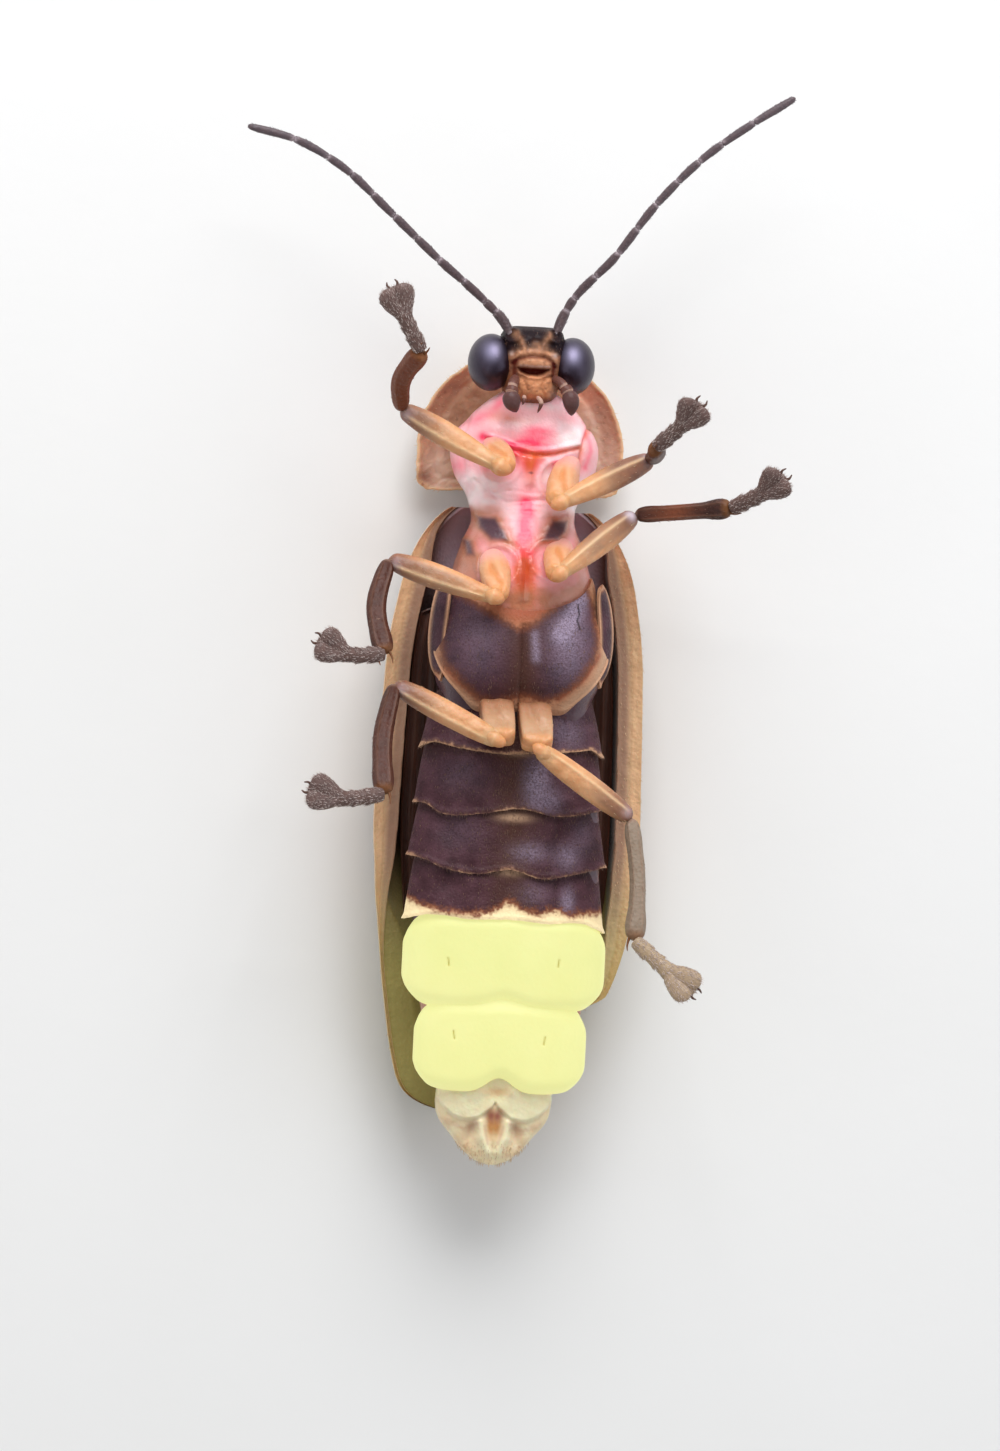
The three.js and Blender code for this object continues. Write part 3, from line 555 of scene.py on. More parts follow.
def skin_relief(x, y):
    folds = bumps(x, y, [
        (0.05, 0.05, 0.1, 0.62, 0.3), (0.06, 0.72, -0.08, 0.22, 0.28), (0.05, -0.62, -0.02, 0.26, 0.24),
        (-0.1, -0.5, -0.66, 0.28, 0.24), (-0.1, 0.52, -0.8, 0.3, 0.34), (0.05, -0.8, -1.3, 0.2, 0.18),
    ], [
        (0.07, 0.08, STEM), (-0.05, 0.035, NECK_RIDGE), (-0.045, 0.04, SIDE_FOLD),
        (-0.04, 0.05, LEFT_FOLD),
        (-0.035, 0.04, [(-0.7, -1.1), (-0.36, -1.26), (0.1, -1.22), (0.6, -1.14)]),
    ])
    folds += 0.035 * crease(x, y - 0.07, NECK_RIDGE, 0.05)
    wrinkled = ease((-0.95 - y) / 0.15) * ease((y + 2.0) / 0.3) * np.exp(-((x / 0.62) ** 4))
    waves = np.sin((y + 0.05 * mottle(x, y, 0.5, 3)) * 2 * np.pi / WRINKLE + 1.4 * mottle(x, y, 0.6, 4))
    folds += 0.0045 * wrinkled * waves
    for corners in DARK_SHIELDS:
        folds += 0.035 * within(x, y, corners, 0.05)
    folds += bumps(x, y, [
        (-0.1, -0.5, -2.3, 0.3, 0.3), (-0.1, 0.42, -2.2, 0.28, 0.26),
    ], [
        (0.06, 0.05, KEEL), (-0.05, 0.02, [(0.02, -2.15), (0.02, -2.95)]),
        (0.03, 0.05, [(-0.44, 0.5), (-0.36, 0.3), (-0.46, 0.12)]),
        (-0.03, 0.04, [(0.56, 0.46), (0.62, 0.3)]),
        (-0.03, 0.03, [(-0.9, -0.9), (-0.66, -1.08), (-0.3, -1.06)]),
        (-0.03, 0.03, [(0.3, -1.5), (0.7, -1.42)]),
    ])
    for sx, sy in ((-0.5, -0.6), (0.52, -0.85), (-0.5, -2.35), (0.4, -2.2)):
        away = np.hypot(x - sx, y - sy)
        folds += 0.04 * np.exp(-(((away - 0.34) / 0.05) ** 2))
    return folds + 0.012 * mottle(x, y, 0.3, 5) + 0.006 * mottle(x, y, 0.12, 6)


def skin_marks(x, y):
    red = bumps(x, y, [
        (0.8, 0.14, -0.04, 0.24, 0.14), (1.1, 0.02, -0.28, 0.3, 0.13), (0.6, -0.86, 0.16, 0.2, 0.09, 30),
        (0.5, -0.55, 0.4, 0.07, 0.16, -30), (0.5, -1.2, -0.74, 0.12, 0.22),
        (0.7, 0.5, -0.55, 0.12, 0.08), (0.5, -0.34, -0.4, 0.16, 0.08), (0.6, 0.0, -0.5, 0.24, 0.13),
        (0.25, 0.0, -1.1, 0.2, 0.2), (0.4, -0.04, -1.95, 0.34, 0.2), (0.35, -0.95, -1.85, 0.22, 0.3),
        (0.35, 0.85, -1.8, 0.2, 0.3), (0.6, 0.0, -0.55, 0.16, 0.2), (0.8, -0.03, -2.5, 0.16, 0.3),
    ], [
        (0.9, 0.09, [(-0.78, -0.16), (-0.5, -0.24), (-0.2, -0.36)]),
        (0.55, 0.05, [(0.98, 0.34), (1.04, 0.1), (0.9, -0.16)]), (1.3, 0.14, MIDLINE),
        (0.5, 0.05, [(1.0, 0.0), (1.08, -0.3), (1.0, -0.6)]),
    ])
    amber = bumps(x, y, [
        (0.7, 0.02, -0.72, 0.1, 0.24), (0.75, 0.0, -0.47, 0.26, 0.15), (0.35, -0.25, 0.16, 0.3, 0.06),
        (0.45, -0.5, 0.2, 0.18, 0.1), (1.3, -0.03, -2.55, 0.2, 0.42), (0.8, 0.0, -2.95, 0.6, 0.3),
        (0.4, 0.3, -1.1, 0.12, 0.1), (0.3, -0.62, -1.36, 0.14, 0.06), (0.35, -0.82, -2.22, 0.2, 0.2),
        (0.25, 0.95, -2.0, 0.2, 0.3), (0.25, -1.0, -1.75, 0.14, 0.3),
    ], [
        (0.75, 0.05, NECK_RIDGE[2:]), (0.6, 0.05, SIDE_FOLD),
    ])
    borders = 0.0
    for corners in DARK_SHIELDS:
        middle = np.mean(corners, 0)
        amber += 0.8 * within(x, y, middle + (np.array(corners) - middle) * 1.4, 0.16)
        borders = borders + within(x, y, middle + (np.array(corners) - middle) * 1.45, 0.14)
    milk = bumps(x, y, [
        (1.3, 0.72, -0.1, 0.24, 0.2), (0.6, -0.1, 0.12, 0.6, 0.12), (0.6, 0.34, -0.66, 0.12, 0.2),
        (0.4, 0.2, 0.4, 0.5, 0.1),
    ])
    # The neck is milky at its sides, and so is the skin between the light organs.
    beside = 0.35 + 0.65 * ease((np.abs(x + 0.04) - 0.25) / 0.4)
    milk += 0.8 * ease((-0.62 - y) / 0.3) * ease((y + 2.1) / 0.5) * beside
    near_lantern = ease((-9.0 - y) / 0.3)
    milk += 2 * near_lantern
    tan = ease((-2.56 - y + 0.1 * np.abs(x)) / 0.34) + 0.95 * borders + 0.6 * near_lantern
    tan += bumps(x, y, [
        (0.6, 1.0, -2.45, 0.36, 0.26), (1.2, -1.1, -2.4, 0.34, 0.4), (1.0, -0.96, -2.35, 0.2, 0.2),
    ])
    rust = bumps(x, y, [(0.3, 0.0, -0.58, 0.12, 0.16)], [(1, 0.13, [(-0.03, -2.3), (-0.03, -2.85)])])
    dark = sum(within(x, y, corners, 0.12) for corners in DARK_SHIELDS)
    dark += bumps(x, y, [(0.4, -0.03, -2.62, 0.1, 0.3), (0.85, 0.03, -0.74, 0.07, 0.035)])
    dark += ease((-3.1 - y) / 0.2) * ease((y + 9.4) / 0.3)
    noise = 1 + 0.3 * mottle(x, y, 0.16, 8) + 0.15 * mottle(x, y, 0.07, 9)
    marks = dict(red=red * noise, amber=amber * noise, milk=milk * noise, dark=dark, tan=tan * noise,
                 rust=rust * noise)
    return {n: np.clip(v, 0, 1) for n, v in marks.items()}


# %% Laying the skin
def skin_rings():
    y = np.concatenate([np.arange(0.72, -3.0, -0.02), np.arange(-3.0, -12.1, -0.08), [-12.1]])
    belly_side = np.linspace(-BELLY_REACH, BELLY_REACH, 190)
    back_side = np.linspace(BELLY_REACH, 2 * np.pi - BELLY_REACH, 34)[1:-1]
    angle = np.concatenate([belly_side, back_side])
    rings = body_point(y[:, None], angle[None, :] + 0 * y[:, None])
    x, place = rings[..., 0], rings[..., 1]
    facing = ease((np.cos(angle) + 0.25) / 0.4)
    outward = np.stack([np.sin(angle) * 0.6, 0 * angle, np.cos(angle)], -1)
    outward /= np.linalg.norm(outward, axis=-1, keepdims=True)
    rings = rings + outward * (skin_relief(x, place) * facing)[..., None]
    lie = np.zeros(rings.shape)
    lie[..., 1] = -1
    return rings, {**skin_marks(x, place), "lie": lie}


skin_clay = Clay()
skin_clay.shell(*skin_rings())
body_skin = skin_clay.make("body_skin")

# %% [markdown]
# The skin's finish mixes four colours by those marks. It is a little translucent, like any living
# membrane, and moist: a thin clear coat gives the sharp small highlights on every fold.

# %% Skin finish
look = Finish("moist_skin", Roughness=0.34, Subsurface_Weight=0.25, Subsurface_Scale=0.0004,
              Coat_Weight=0.25, Coat_Roughness=0.16)
look.shader.inputs["Subsurface Radius"].default_value = (1.0, 0.35, 0.25)
skin_cloud = look.noise(0.35)
skin_grain = look.noise(0.05, 4, 0.6)
tone = look.mix(colour(252, 182, 188), colour(255, 238, 238), look.mark("milk") + skin_cloud * 0.7 - 0.38)
tone = look.mix(tone, colour(255, 62, 104), look.mark("red") * (skin_cloud * 0.5 + 0.8))
tone = look.mix(tone, colour(226, 106, 58), look.mark("amber") * (skin_cloud * 0.6 + 0.7))
tone = look.paint(tone, rust=(188, 66, 36, 0.75), tan=(178, 118, 86, 0.85))
tone = look.mix(tone, colour(88, 58, 70), look.mark("dark").between(0.3, 0.95))
look.use(Base_Color=tone)
look.relief(skin_grain * 0.7 + look.cells(0.05) * 0.3, 0.012)
hand_over(body_skin, look, "flesh", "prothorax", "mesothorax")

# %% [markdown]
# ## The breast plate
#
# Behind the middle legs lies the metasternum, the dark purple-brown double plate that houses the
# flight muscles: two low domes with a groove between them, a tan border, and a narrow strip down
# each side. It could be cut out of the skin, but a plate of its own, laid a little proud of the
# skin, gives the real edge, with the skin running under it.

# %% Plates on the belly
def patch(front, rear, reach, raised, rows, columns):
    """A grid over the belly between two borders, which are rules of the place across, -1 to 1."""
    across = np.linspace(-1, 1, columns)
    share = np.linspace(0, 1, rows)[:, None]
    y = blend(front(across), rear(across), share)
    angle = across * reach + 0 * y
    grid = body_point(y, angle)
    grow = raised(across + 0 * y, share + 0 * y, grid[..., 0], grid[..., 1])
    outward = np.stack([np.sin(angle), 0 * angle, np.cos(angle)], -1)
    return grid + outward * grow[..., None]


def tailwards(grid):
    lie = np.zeros(grid.shape)
    lie[..., 1] = -1
    return lie


BREAST_DARK = [
    (-1.3, -2.78), (-0.86, -3.02), (-0.44, -3.26), (-0.12, -3.42), (0.05, -3.38), (0.51, -3.04),
    (0.98, -2.56), (1.18, -3.0), (1.28, -3.56), (1.2, -3.88), (0.92, -4.28), (0.6, -4.54),
    (0.36, -4.6), (0.03, -4.53), (-0.07, -4.55), (-0.41, -4.66), (-0.68, -4.62), (-0.96, -4.4),
    (-1.34, -4.02), (-1.4, -3.66),
]
BREAST_PITS = [(0.9, -2.95), (0.93, -3.12), (0.89, -3.22), (0.94, -3.36)]


def breast_front(across):
    return -3.1 + 0.62 * np.abs(across) ** 1.4


def breast_rear(across):
    waves = bumps(across, 0, [(0.1, 0.42, 0, 0.2, 1), (0.1, -0.42, 0, 0.2, 1)])
    return -4.82 + 0.95 * np.abs(across) ** 2.6 - waves


def breast_raised(across, share, x, y):
    domes = bumps(x, y, [(0.065, -0.72, -3.7, 0.56, 0.75), (0.065, 0.72, -3.65, 0.56, 0.75)])
    groove = 0.09 * crease(x, y, [(-0.01, -3.36), (-0.01, -4.7)], 0.05)
    pits = 0.02 * crease(x, y, BREAST_PITS, 0.018)
    border = np.minimum.reduce([share, 1 - share, (1 - np.abs(across)) * 1.4]) / 0.05
    rim = 0.035 * hill(share, 0, (0.965, 0), (0.02, 1)) * ease((np.abs(across) - 0.25) / 0.2)
    form = domes - groove - pits + rim + 0.035 * np.clip(border, 0, 1)
    return 0.05 + form + 0.006 * mottle(x, y, 0.2, 2)


breast_grid = patch(breast_front, breast_rear, 1.22, breast_raised, 90, 170)
x, y = breast_grid[..., 0], breast_grid[..., 1]
dark = within(x + 0.02 * mottle(x, y, 0.1, 6), y + 0.02 * mottle(x, y, 0.12, 7), BREAST_DARK, 0.2)
brown = crease(x, y, [(-0.01, -3.4), (-0.01, -4.6)], 0.3) * dark
red = bumps(x, y, [(0.9, 0, -3.1, 0.7, 0.3)], [
    (0.8, 0.05, [(-1.46, -3.9), (-1.12, -4.32), (-0.74, -4.62)]),
    (1, 0.05, [(1.32, -3.8), (1.02, -4.24), (0.64, -4.56)]),
])
# The sheen mark is a painted reflection: lilac streaks and patches on the breast plate.
sheen = bumps(x, y, [
    (0.55, 0.76, -3.62, 0.34, 0.6), (0.25, -0.8, -3.6, 0.4, 0.6),
], [
    (1, 0.14, [(1.0, -2.78), (0.84, -3.1), (0.62, -3.45)]), (0.6, 0.08, [(0.16, -3.5), (0.2, -3.9)]),
])
cream = bumps(x, y, [(1, -0.36, -4.8, 0.3, 0.1), (1, 0.3, -4.8, 0.3, 0.1)], [
    (0.9, 0.1, [(-1.6, -3.6), (-1.42, -4.3), (-0.8, -4.76)]),
    (0.9, 0.1, [(1.5, -3.6), (1.28, -4.26), (0.78, -4.7)]),
])
breast_marks = {"dark": dark, "brown": np.clip(brown, 0, 1), "red": np.clip(red, 0, 1), "cream": cream,
                "pits": crease(x, y, BREAST_PITS, 0.014), "sheen": np.clip(sheen, 0, 1),
                "fur": 0.6 * dark, "lie": tailwards(breast_grid)}
breast_clay = Clay()
breast_clay.plate(breast_grid, 0.07, breast_marks)

# The strips down the sides of the breast, one on each side, standing steeply.
for side in (-1, 1):
    strip = np.linspace(0, 1, 50)[:, None]
    wide = np.linspace(-1, 1, 18)[None, :]
    y = blend(-2.62, -4.3, strip) + 0.05 * wide
    middle = blend(1.34, 1.46, np.sin(strip * np.pi * 0.8))
    half = 0.13 * np.sqrt(np.clip(1 - np.abs(strip * 2 - 1) ** 3, 0.04, 1))
    x = side * (middle + half * wide)
    z = 2.3 + 0.1 * np.sin(strip * np.pi) - 0.16 * wide + 0.05 * (1 - wide**2)
    strip_grid = np.stack(np.broadcast_arrays(x, y, z), -1)
    edge = np.clip(1.1 - np.abs(wide) * 1.1, 0, 1) + 0 * strip
    strip_marks = {"dark": ease(edge / 0.5) * ease((1 - strip) / 0.12) * ease(strip / 0.1),
                   "cream": 0.6 * ease((np.abs(wide) - 0.45) / 0.5) + 0 * strip,
                   "lie": tailwards(strip_grid)}
    breast_clay.plate(strip_grid, 0.06, strip_marks, out=(side * 0.5, 0, 1))
breast_plate = breast_clay.make("breast_plate")

# %% [markdown]
# The finish of the dark plates: purple-brown, browner in the middle, with a tan border where the
# shell is thin. A bluish lilac sheen is painted into the colour in patches: a painted reflection.
# Roughness varies with the pits, so that the soft boxes break up on it.

# %% Dark plate finish
def dark_plate_finish(name, purple, tan, shade, rust, glow=0.0):
    finish = Finish(name, Emission_Strength=glow, Sheen_Weight=0.08, Sheen_Roughness=0.4,
                    Specular_IOR_Level=0.22)
    cloud, grain, fine = finish.noise(0.3, 4), finish.noise(0.06, 3), finish.noise(0.03, 3, 0.7)
    shell = finish.mix(purple, colour(100, 64, 74), cloud * 1.5 - 0.46 + (fine - 0.5) * 0.5)
    shell = finish.mix(shell, colour(74, 42, 33), finish.mark("brown") * (grain * 0.5 + 0.75))
    # Painted reflection: a lilac sheen laid into the colour where the sheen mark lies.
    shell = finish.mix(shell, colour(158, 142, 164), finish.mark("sheen") * (fine * 2.6 - 0.5))
    shell = finish.mix(shell, colour(40, 26, 30), fine.between(0.42, 0.3) * 0.4)
    edge = finish.mix(tan, shade, cloud * 1.4 - 0.35)
    edge = finish.paint(edge, red=(150, 72, 44, 1))
    dark = finish.mark("dark") + (grain - 0.5) * 0.45
    edge = finish.mix(edge, rust, dark.between(0.1, 0.5))
    shell = finish.mix(edge, shell, dark.between(0.3, 0.95))
    shell = finish.paint(shell, pits=(28, 18, 22, 1), cream=(196, 158, 128, 0.9))
    # On the last belly plate the pale edge glows: painted light from the lantern.
    finish.use(Emission_Color=finish.mix(edge, colour(0, 0, 0), dark.between(0.0, 0.4)))
    pits = finish.cells(0.045)
    finish.use(Base_Color=shell, Roughness=pits * 0.25 + grain * 0.2 + 0.3)
    finish.relief(pits * 0.5 + fine * 0.5 + finish.mark("sheen") * grain, 0.014)
    return finish


plate_finish = dark_plate_finish("dark_breast_plate", colour(56, 30, 40), colour(184, 122, 86),
                                 colour(206, 158, 126), colour(122, 72, 50))
hand_over(breast_plate, plate_finish, "belly_plate", "metathorax")

# %% [markdown]
# ## The belly plates
#
# The abdomen is a row of plates that overlap like roof tiles, each one sliding under the one in
# front of it. Their corners flare out to sharp points, and each rear edge is a wavy tan lip. One
# rule makes them all; a table gives the place, width and waves of each.

# %% Belly plates
# node, front, middle, half width in front and behind, places of the rear edge across the belly
BELLY_PLATES = [
    ("abdomen_segment_2", -4.5, 1.3, 1.57,
     [(-1.66, -5.5), (-1.51, -5.42), (-0.97, -5.48), (-0.28, -5.55), (0.33, -5.52), (1.05, -5.45),
      (1.3, -5.42), (1.52, -5.54)]),
    ("abdomen_segment_3", -5.36, 1.46, 1.63,
     [(-1.71, -6.43), (-1.5, -6.44), (-1.33, -6.55), (-0.58, -6.58), (0.07, -6.47), (0.79, -6.57),
      (1.27, -6.5), (1.56, -6.42)]),
    ("abdomen_segment_4", -6.32, 1.5, 1.7,
     [(-1.76, -7.33), (-1.5, -7.38), (-1.22, -7.5), (-0.53, -7.6), (-0.02, -7.51), (0.5, -7.64),
      (1.18, -7.52), (1.64, -7.4)]),
    ("abdomen_segment_5", -7.24, 1.54, 1.72,
     [(-1.78, -8.42), (-1.4, -8.33), (-0.6, -8.38), (0.0, -8.36), (0.7, -8.4), (1.3, -8.38),
      (1.68, -8.52)]),
]
MIDDLE = -0.05
CREAM_EDGE = [(-1.76, -7.98), (-1.55, -8.1), (-1.18, -8.22), (-0.5, -8.24), (-0.22, -8.14),
              (-0.03, -8.03), (0.2, -8.12), (0.53, -8.2), (0.8, -8.13), (1.0, -8.2), (1.38, -8.16),
              (1.68, -8.14)]
# places, sizes and strengths of the painted bluish sheen, a painted reflection
PAINTED_SHEENS = {
    "abdomen_segment_2": [(0.86, -5.1, 0.3, 0.3, 0.5)],
    "abdomen_segment_3": [(0.36, -6.0, 0.2, 0.4, 1.35), (0.62, -6.3, 0.2, 0.2, 0.7),
                          (-0.9, -5.9, 0.4, 0.3, 0.2)],
    "abdomen_segment_4": [(0.3, -7.2, 0.3, 0.16, 0.7), (0.95, -7.25, 0.2, 0.2, 0.7),
                          (1.2, -6.9, 0.2, 0.3, 0.3), (-0.9, -6.9, 0.4, 0.3, 0.15)],
    "abdomen_segment_5": [(1.0, -8.0, 0.12, 0.24, 0.8), (0.4, -7.9, 0.3, 0.2, 0.3)],
}


def belly_plate(node, front, wide_front, wide_rear, rear_edge, rows=72, columns=190):
    across = np.linspace(-1, 1, columns)[None, :]
    share = np.linspace(0, 1, rows)[:, None]
    wide = blend(wide_front, wide_rear, share**0.8) + 0.03 * ease((share - 0.9) / 0.1)
    x = MIDDLE + blend(across, np.abs(across) ** 1.25 * np.sign(across), 0.35) * wide
    edge = follow(rear_edge, x)[0]
    edge = edge + 0.006 * mottle(x, 0 * x, 0.07, 9)
    y = blend(front, edge, share)
    away = np.abs(across)
    z = 1.98 + 0.44 * (1 - away**3.4) ** 0.75 + 0.07 * share**2
    dimples = bumps(x, y - front, [(0.06, -1.05, -0.55, 0.22, 0.25), (0.06, 0.95, -0.6, 0.2, 0.28)])
    folds = bumps(x, share, [
        (0.045, 0.42, 0.7, 0.2, 0.35), (-0.03, 0.02, 0.5, 0.14, 0.5),
    ], [
        (0.03, 0.1, [(-0.75, 0.1), (-0.66, 0.8)]), (-0.03, 0.05, [(0.75, 0.2), (0.85, 0.95)]),
    ])
    rim = 0.02 * hill(share, 0, (0.955, 0), (0.035, 1))
    z = z - dimples + folds + 0.008 * mottle(x, y, 0.25, 3) + rim
    # Painted reflection: lilac patches of sheen on each belly plate.
    sheen = 0 * x
    for sx, sy, w, h, strength in PAINTED_SHEENS[node]:
        sheen = sheen + 0.75 * strength * hill(x, y, (sx, sy), (w, h))
    z = z + 0.02 * sheen * mottle(x, y, 0.07, 6) + 0.012 * sheen * mottle(x, y, 0.035, 7)
    grid = np.stack(np.broadcast_arrays(x, y, z), -1)
    x, y = grid[..., 0], grid[..., 1]
    ragged = 0.02 * mottle(x, y, 0.08, 4) + 0.02 * mottle(x, y, 0.03, 5)
    lip = (y - edge) - 0.012 - 0.04 * ease((away - 0.9) / 0.1) - 0.03 * hill(x, 0 * y, (0, 0), (0.3, 1))
    soft = 0.12
    if node == "abdomen_segment_5":
        lip = y - follow(CREAM_EDGE, x)[0] + ragged
        soft = 0.3
    elif node == "abdomen_segment_2":
        lip = lip - 0.03
    marks = {
        "dark": ease((lip + ragged) / soft + 0.5),
        "cream": hill(x, y - front, (0.02, -0.14 if front > -6 else -0.3), (0.26, 0.07)),
        # brown: the brown down in the middle, and a darker front of each plate under the lip of the one
        # before it, which is painted shade.
        "brown": (hill(x, 0 * y, (0.0, 0), (0.36, 1)) + 0.6 * ease((0.3 - share) / 0.3))
                 * (0.8 + 0.2 * mottle(x, y, 0.12, 3)),
        "red": hill(lip, 0, (0.0, 0), (0.085, 1)) * (0.75 if node == "abdomen_segment_5" else 0.25),
        "sheen": sheen,
        "fur": 0.2 + 0.8 * hill(x, 0 * y, (0.0, 0), (0.4, 1)) + 0.8 * ease((share - 0.9) / 0.05),
        "lie": tailwards(grid),
    }
    if node == "abdomen_segment_5":
        marks["fur"] = marks["fur"] * ease((lip + 0.02) / 0.1)
    clay = Clay()
    clay.plate(grid, 0.05, {n: np.clip(v, -1, 1) for n, v in marks.items()})
    return clay.make(node.replace("abdomen_segment", "belly_plate"))


belly_pieces = []
sternite_finish = dark_plate_finish("dark_belly_plate", colour(56, 26, 33), colour(178, 140, 110),
                                    colour(206, 170, 136), colour(112, 78, 68))
# The last plate's glow on its pale edge is painted light from the lantern.
last_finish = dark_plate_finish("last_belly_plate", colour(56, 26, 33), colour(236, 218, 172),
                                colour(224, 198, 152), colour(128, 74, 48), 0.22)
for row in BELLY_PLATES:
    piece = belly_plate(*row)
    finish = last_finish if row[0].endswith("5") else sternite_finish
    belly_pieces.append(hand_over(piece, finish, "belly_plate", row[0]))

# %% [markdown]
# ## The light organs
#
# The last two large plates are the lantern: pale, smooth cushions with rounded corners and a
# notched rear edge, lit from inside while the insect flashes. Each has two tiny olive slits, the
# dents of its inner muscles. A lit organ hardly shows any shading, so most of its brightness is
# emission, with a little soft shading left to show its form.

# %% Light organs
# node, front, rear, half width, notch, slits, belly
LANTERNS = [
    ("lantern_segment_6", -8.2, -9.92, 1.74, 0.16, [(-1.0, -9.12), (0.9, -9.07)], 2.46),
    ("lantern_segment_7", -9.7, -11.32, 1.48, 0.25, [(-0.84, -10.36), (0.73, -10.4)], 2.36),
]


def lantern(node, front, rear, wide, notch, slits, belly, rows=110, columns=150):
    across = np.linspace(-1, 1, columns)[None, :]
    share = np.linspace(0, 1, rows)[:, None]
    edge = rear + notch * np.exp(-((across / 0.2) ** 2)) + 0.06 * np.abs(across) ** 4
    corner = (1 - np.abs(across) ** 7) ** 0.45
    y = blend(front - 0.1 * np.abs(across) ** 6, edge, 0.5 + (share - 0.5) * (0.72 + 0.28 * corner))
    narrows = 0.1 * (np.clip(0.3 - share, 0, 1) / 0.3) ** 2
    swell = 1 - narrows - 0.12 * (np.clip(share - 0.7, 0, 1) / 0.3) ** 2.6
    x = np.sign(across) * (1 - (1 - np.abs(across)) ** 1.15) * wide * swell
    cushion = (1 - np.abs(across) ** 3) ** 0.6 * (1 - np.clip((share - 0.8) / 0.2, 0, 1) ** 3 * 0.5)
    z = 1.9 + (belly - 1.9) * cushion + 0.03 * np.sin(share * np.pi)
    grid = np.stack(np.broadcast_arrays(x, y, z), -1)
    x, y = grid[..., 0], grid[..., 1]
    slit = sum(crease(x, y, [(sx, sy + 0.07), (sx - 0.02 * np.sign(sx), sy - 0.06)], 0.014)
               for sx, sy in slits)
    grid[..., 2] -= 0.035 * slit + 0.006 * mottle(x, y, 0.4, 2) + 0.07 * ease((0.2 - share) / 0.2)
    rim = np.clip(1 - np.minimum(1 - share, (1 - np.abs(across)) * 2) / 0.06, 0, 1) + 0 * y
    clay = Clay()
    clay.plate(grid, 0.09, {"slit": np.clip(slit, 0, 1), "rim": rim, "lie": tailwards(grid)})
    return clay.make(node.replace("_segment", ""))


look = Finish("glowing_lantern", Roughness=0.45, Emission_Strength=0.72, Subsurface_Weight=0.2,
              Subsurface_Scale=0.0005, Specular_IOR_Level=0.3)
glow_cloud = look.noise(0.9, 2)
glow = look.mix(colour(240, 244, 160), colour(247, 248, 176), glow_cloud)
glow = look.paint(glow, rim=(236, 236, 164, 0.5), slit=(186, 180, 96, 1))
pale = look.mix(colour(132, 132, 84), colour(142, 142, 92), glow_cloud)
pale = look.paint(pale, slit=(120, 112, 56, 1))
look.use(Base_Color=pale, Emission_Color=glow)
look.relief(look.noise(0.12) * 0.7 + look.cells(0.08) * 0.3, 0.006)
for row in LANTERNS:
    hand_over(lantern(*row), look, "lantern", row[0])

# %% [markdown]
# ## The tail
#
# The small last plate of a male ends in a blunt triangle: two pale lobes in front, a V of raised
# ridges, and an orange keel between them. The height of this plate is a sum of hills and creases
# laid out from the middle line, so its two halves match.

# %% Tail
# place along the tail and half width
TAIL_OUTLINE = [(-11.0, 0.94), (-11.3, 0.99), (-11.56, 0.99), (-11.75, 0.95), (-11.92, 0.85),
                (-12.09, 0.7), (-12.26, 0.57), (-12.4, 0.42), (-12.5, 0.28), (-12.56, 0.1)]
TAIL_MIDDLE = -0.04


def tail_plate(rows=150, columns=150):
    across = np.linspace(-1, 1, columns)[None, :]
    share = np.linspace(0, 1, rows)[:, None]
    y = blend(-11.0, -12.56, share) + 0 * across
    half = follow(TAIL_OUTLINE, y)[0] + 0.012 * mottle(y, 0 * y, 0.07, 5) * ease((share - 0.4) / 0.2)
    x = TAIL_MIDDLE + np.sin(across * np.pi / 2) * half
    away = np.abs(x - TAIL_MIDDLE)
    z = 1.62 + 0.42 * np.clip(1 - np.abs(across) ** 2.4, 0, 1) ** 0.6 * (1 - 0.42 * share**2.2)
    lobe_edge = -11.5 - 0.33 * np.sin(np.clip(away / 0.95, 0, 1) * np.pi) ** 0.7
    lobes = ease((y - lobe_edge) / 0.1 + 0.2)
    ridges = crease(away, y, [(0.24, -11.84), (0.2, -12.06), (0.09, -12.34)], 0.095)
    keel = crease(away, y, [(0, -11.6), (0, -12.12)], 0.08)
    hollow = hill(away, y, (0.38, -12.0), (0.1, 0.2), 24)
    swells = bumps(away, y, [(0.03, 0.28, -11.3, 0.1, 0.12), (-0.03, 0.0, -11.32, 0.16, 0.16)])
    z = z + 0.08 * lobes + 0.09 * ridges + 0.03 * keel - 0.07 * hollow + swells
    z = z + 0.008 * mottle(x, y, 0.12, 2)
    grid = np.stack(np.broadcast_arrays(x, y, z), -1)
    orange = bumps(away, y, [(1.1, 0.04, -11.9, 0.1, 0.18), (0.6, 0.0, -11.3, 0.24, 0.1)])
    red = hill(away, y, (0.05, -11.72), (0.09, 0.12))
    shadow = 0.5 * hollow + bumps(away, y, [], [
        (0.4, 0.03, [(0.16, -11.9), (0.09, -12.2)]),
        (0.35, 0.05, [(0.8, -11.84), (0.5, -11.96), (0.3, -11.86)]),
    ])
    milk = lobes * 0.55 + ridges * 0.9 + 0.5 * ease((-12.36 - y) / 0.1)
    milk = milk + 0.4 * hill(away, y, (0.62, -12.0), (0.14, 0.2), 30)
    clay = Clay()
    marks = dict(orange=orange, red=red, shadow=shadow, milk=milk, lie=tailwards(grid),
                 fur=ease((-12.1 - y) / 0.2))
    clay.plate(grid, 0.08, {n: np.clip(v, -1, 1) for n, v in marks.items()})
    return clay.make("tail_plate")


look = Finish("cream_tail", Roughness=0.36, Subsurface_Weight=0.25, Subsurface_Scale=0.0004,
              Coat_Weight=0.25)
tail_cloud = look.noise(0.16, 4)
cream = look.mix(colour(240, 206, 160), colour(252, 238, 198), tail_cloud + look.mark("milk") * 0.7 - 0.2)
cream = look.paint(cream, orange=(206, 146, 84, 1), shadow=(186, 140, 112, 1), red=(150, 78, 52, 1))
look.use(Base_Color=cream)
look.relief(look.noise(0.05, 4) * 0.6 + look.cells(0.06) * 0.4, 0.012)
tail = hand_over(tail_plate(), look, "tail", "tail_segment_8")

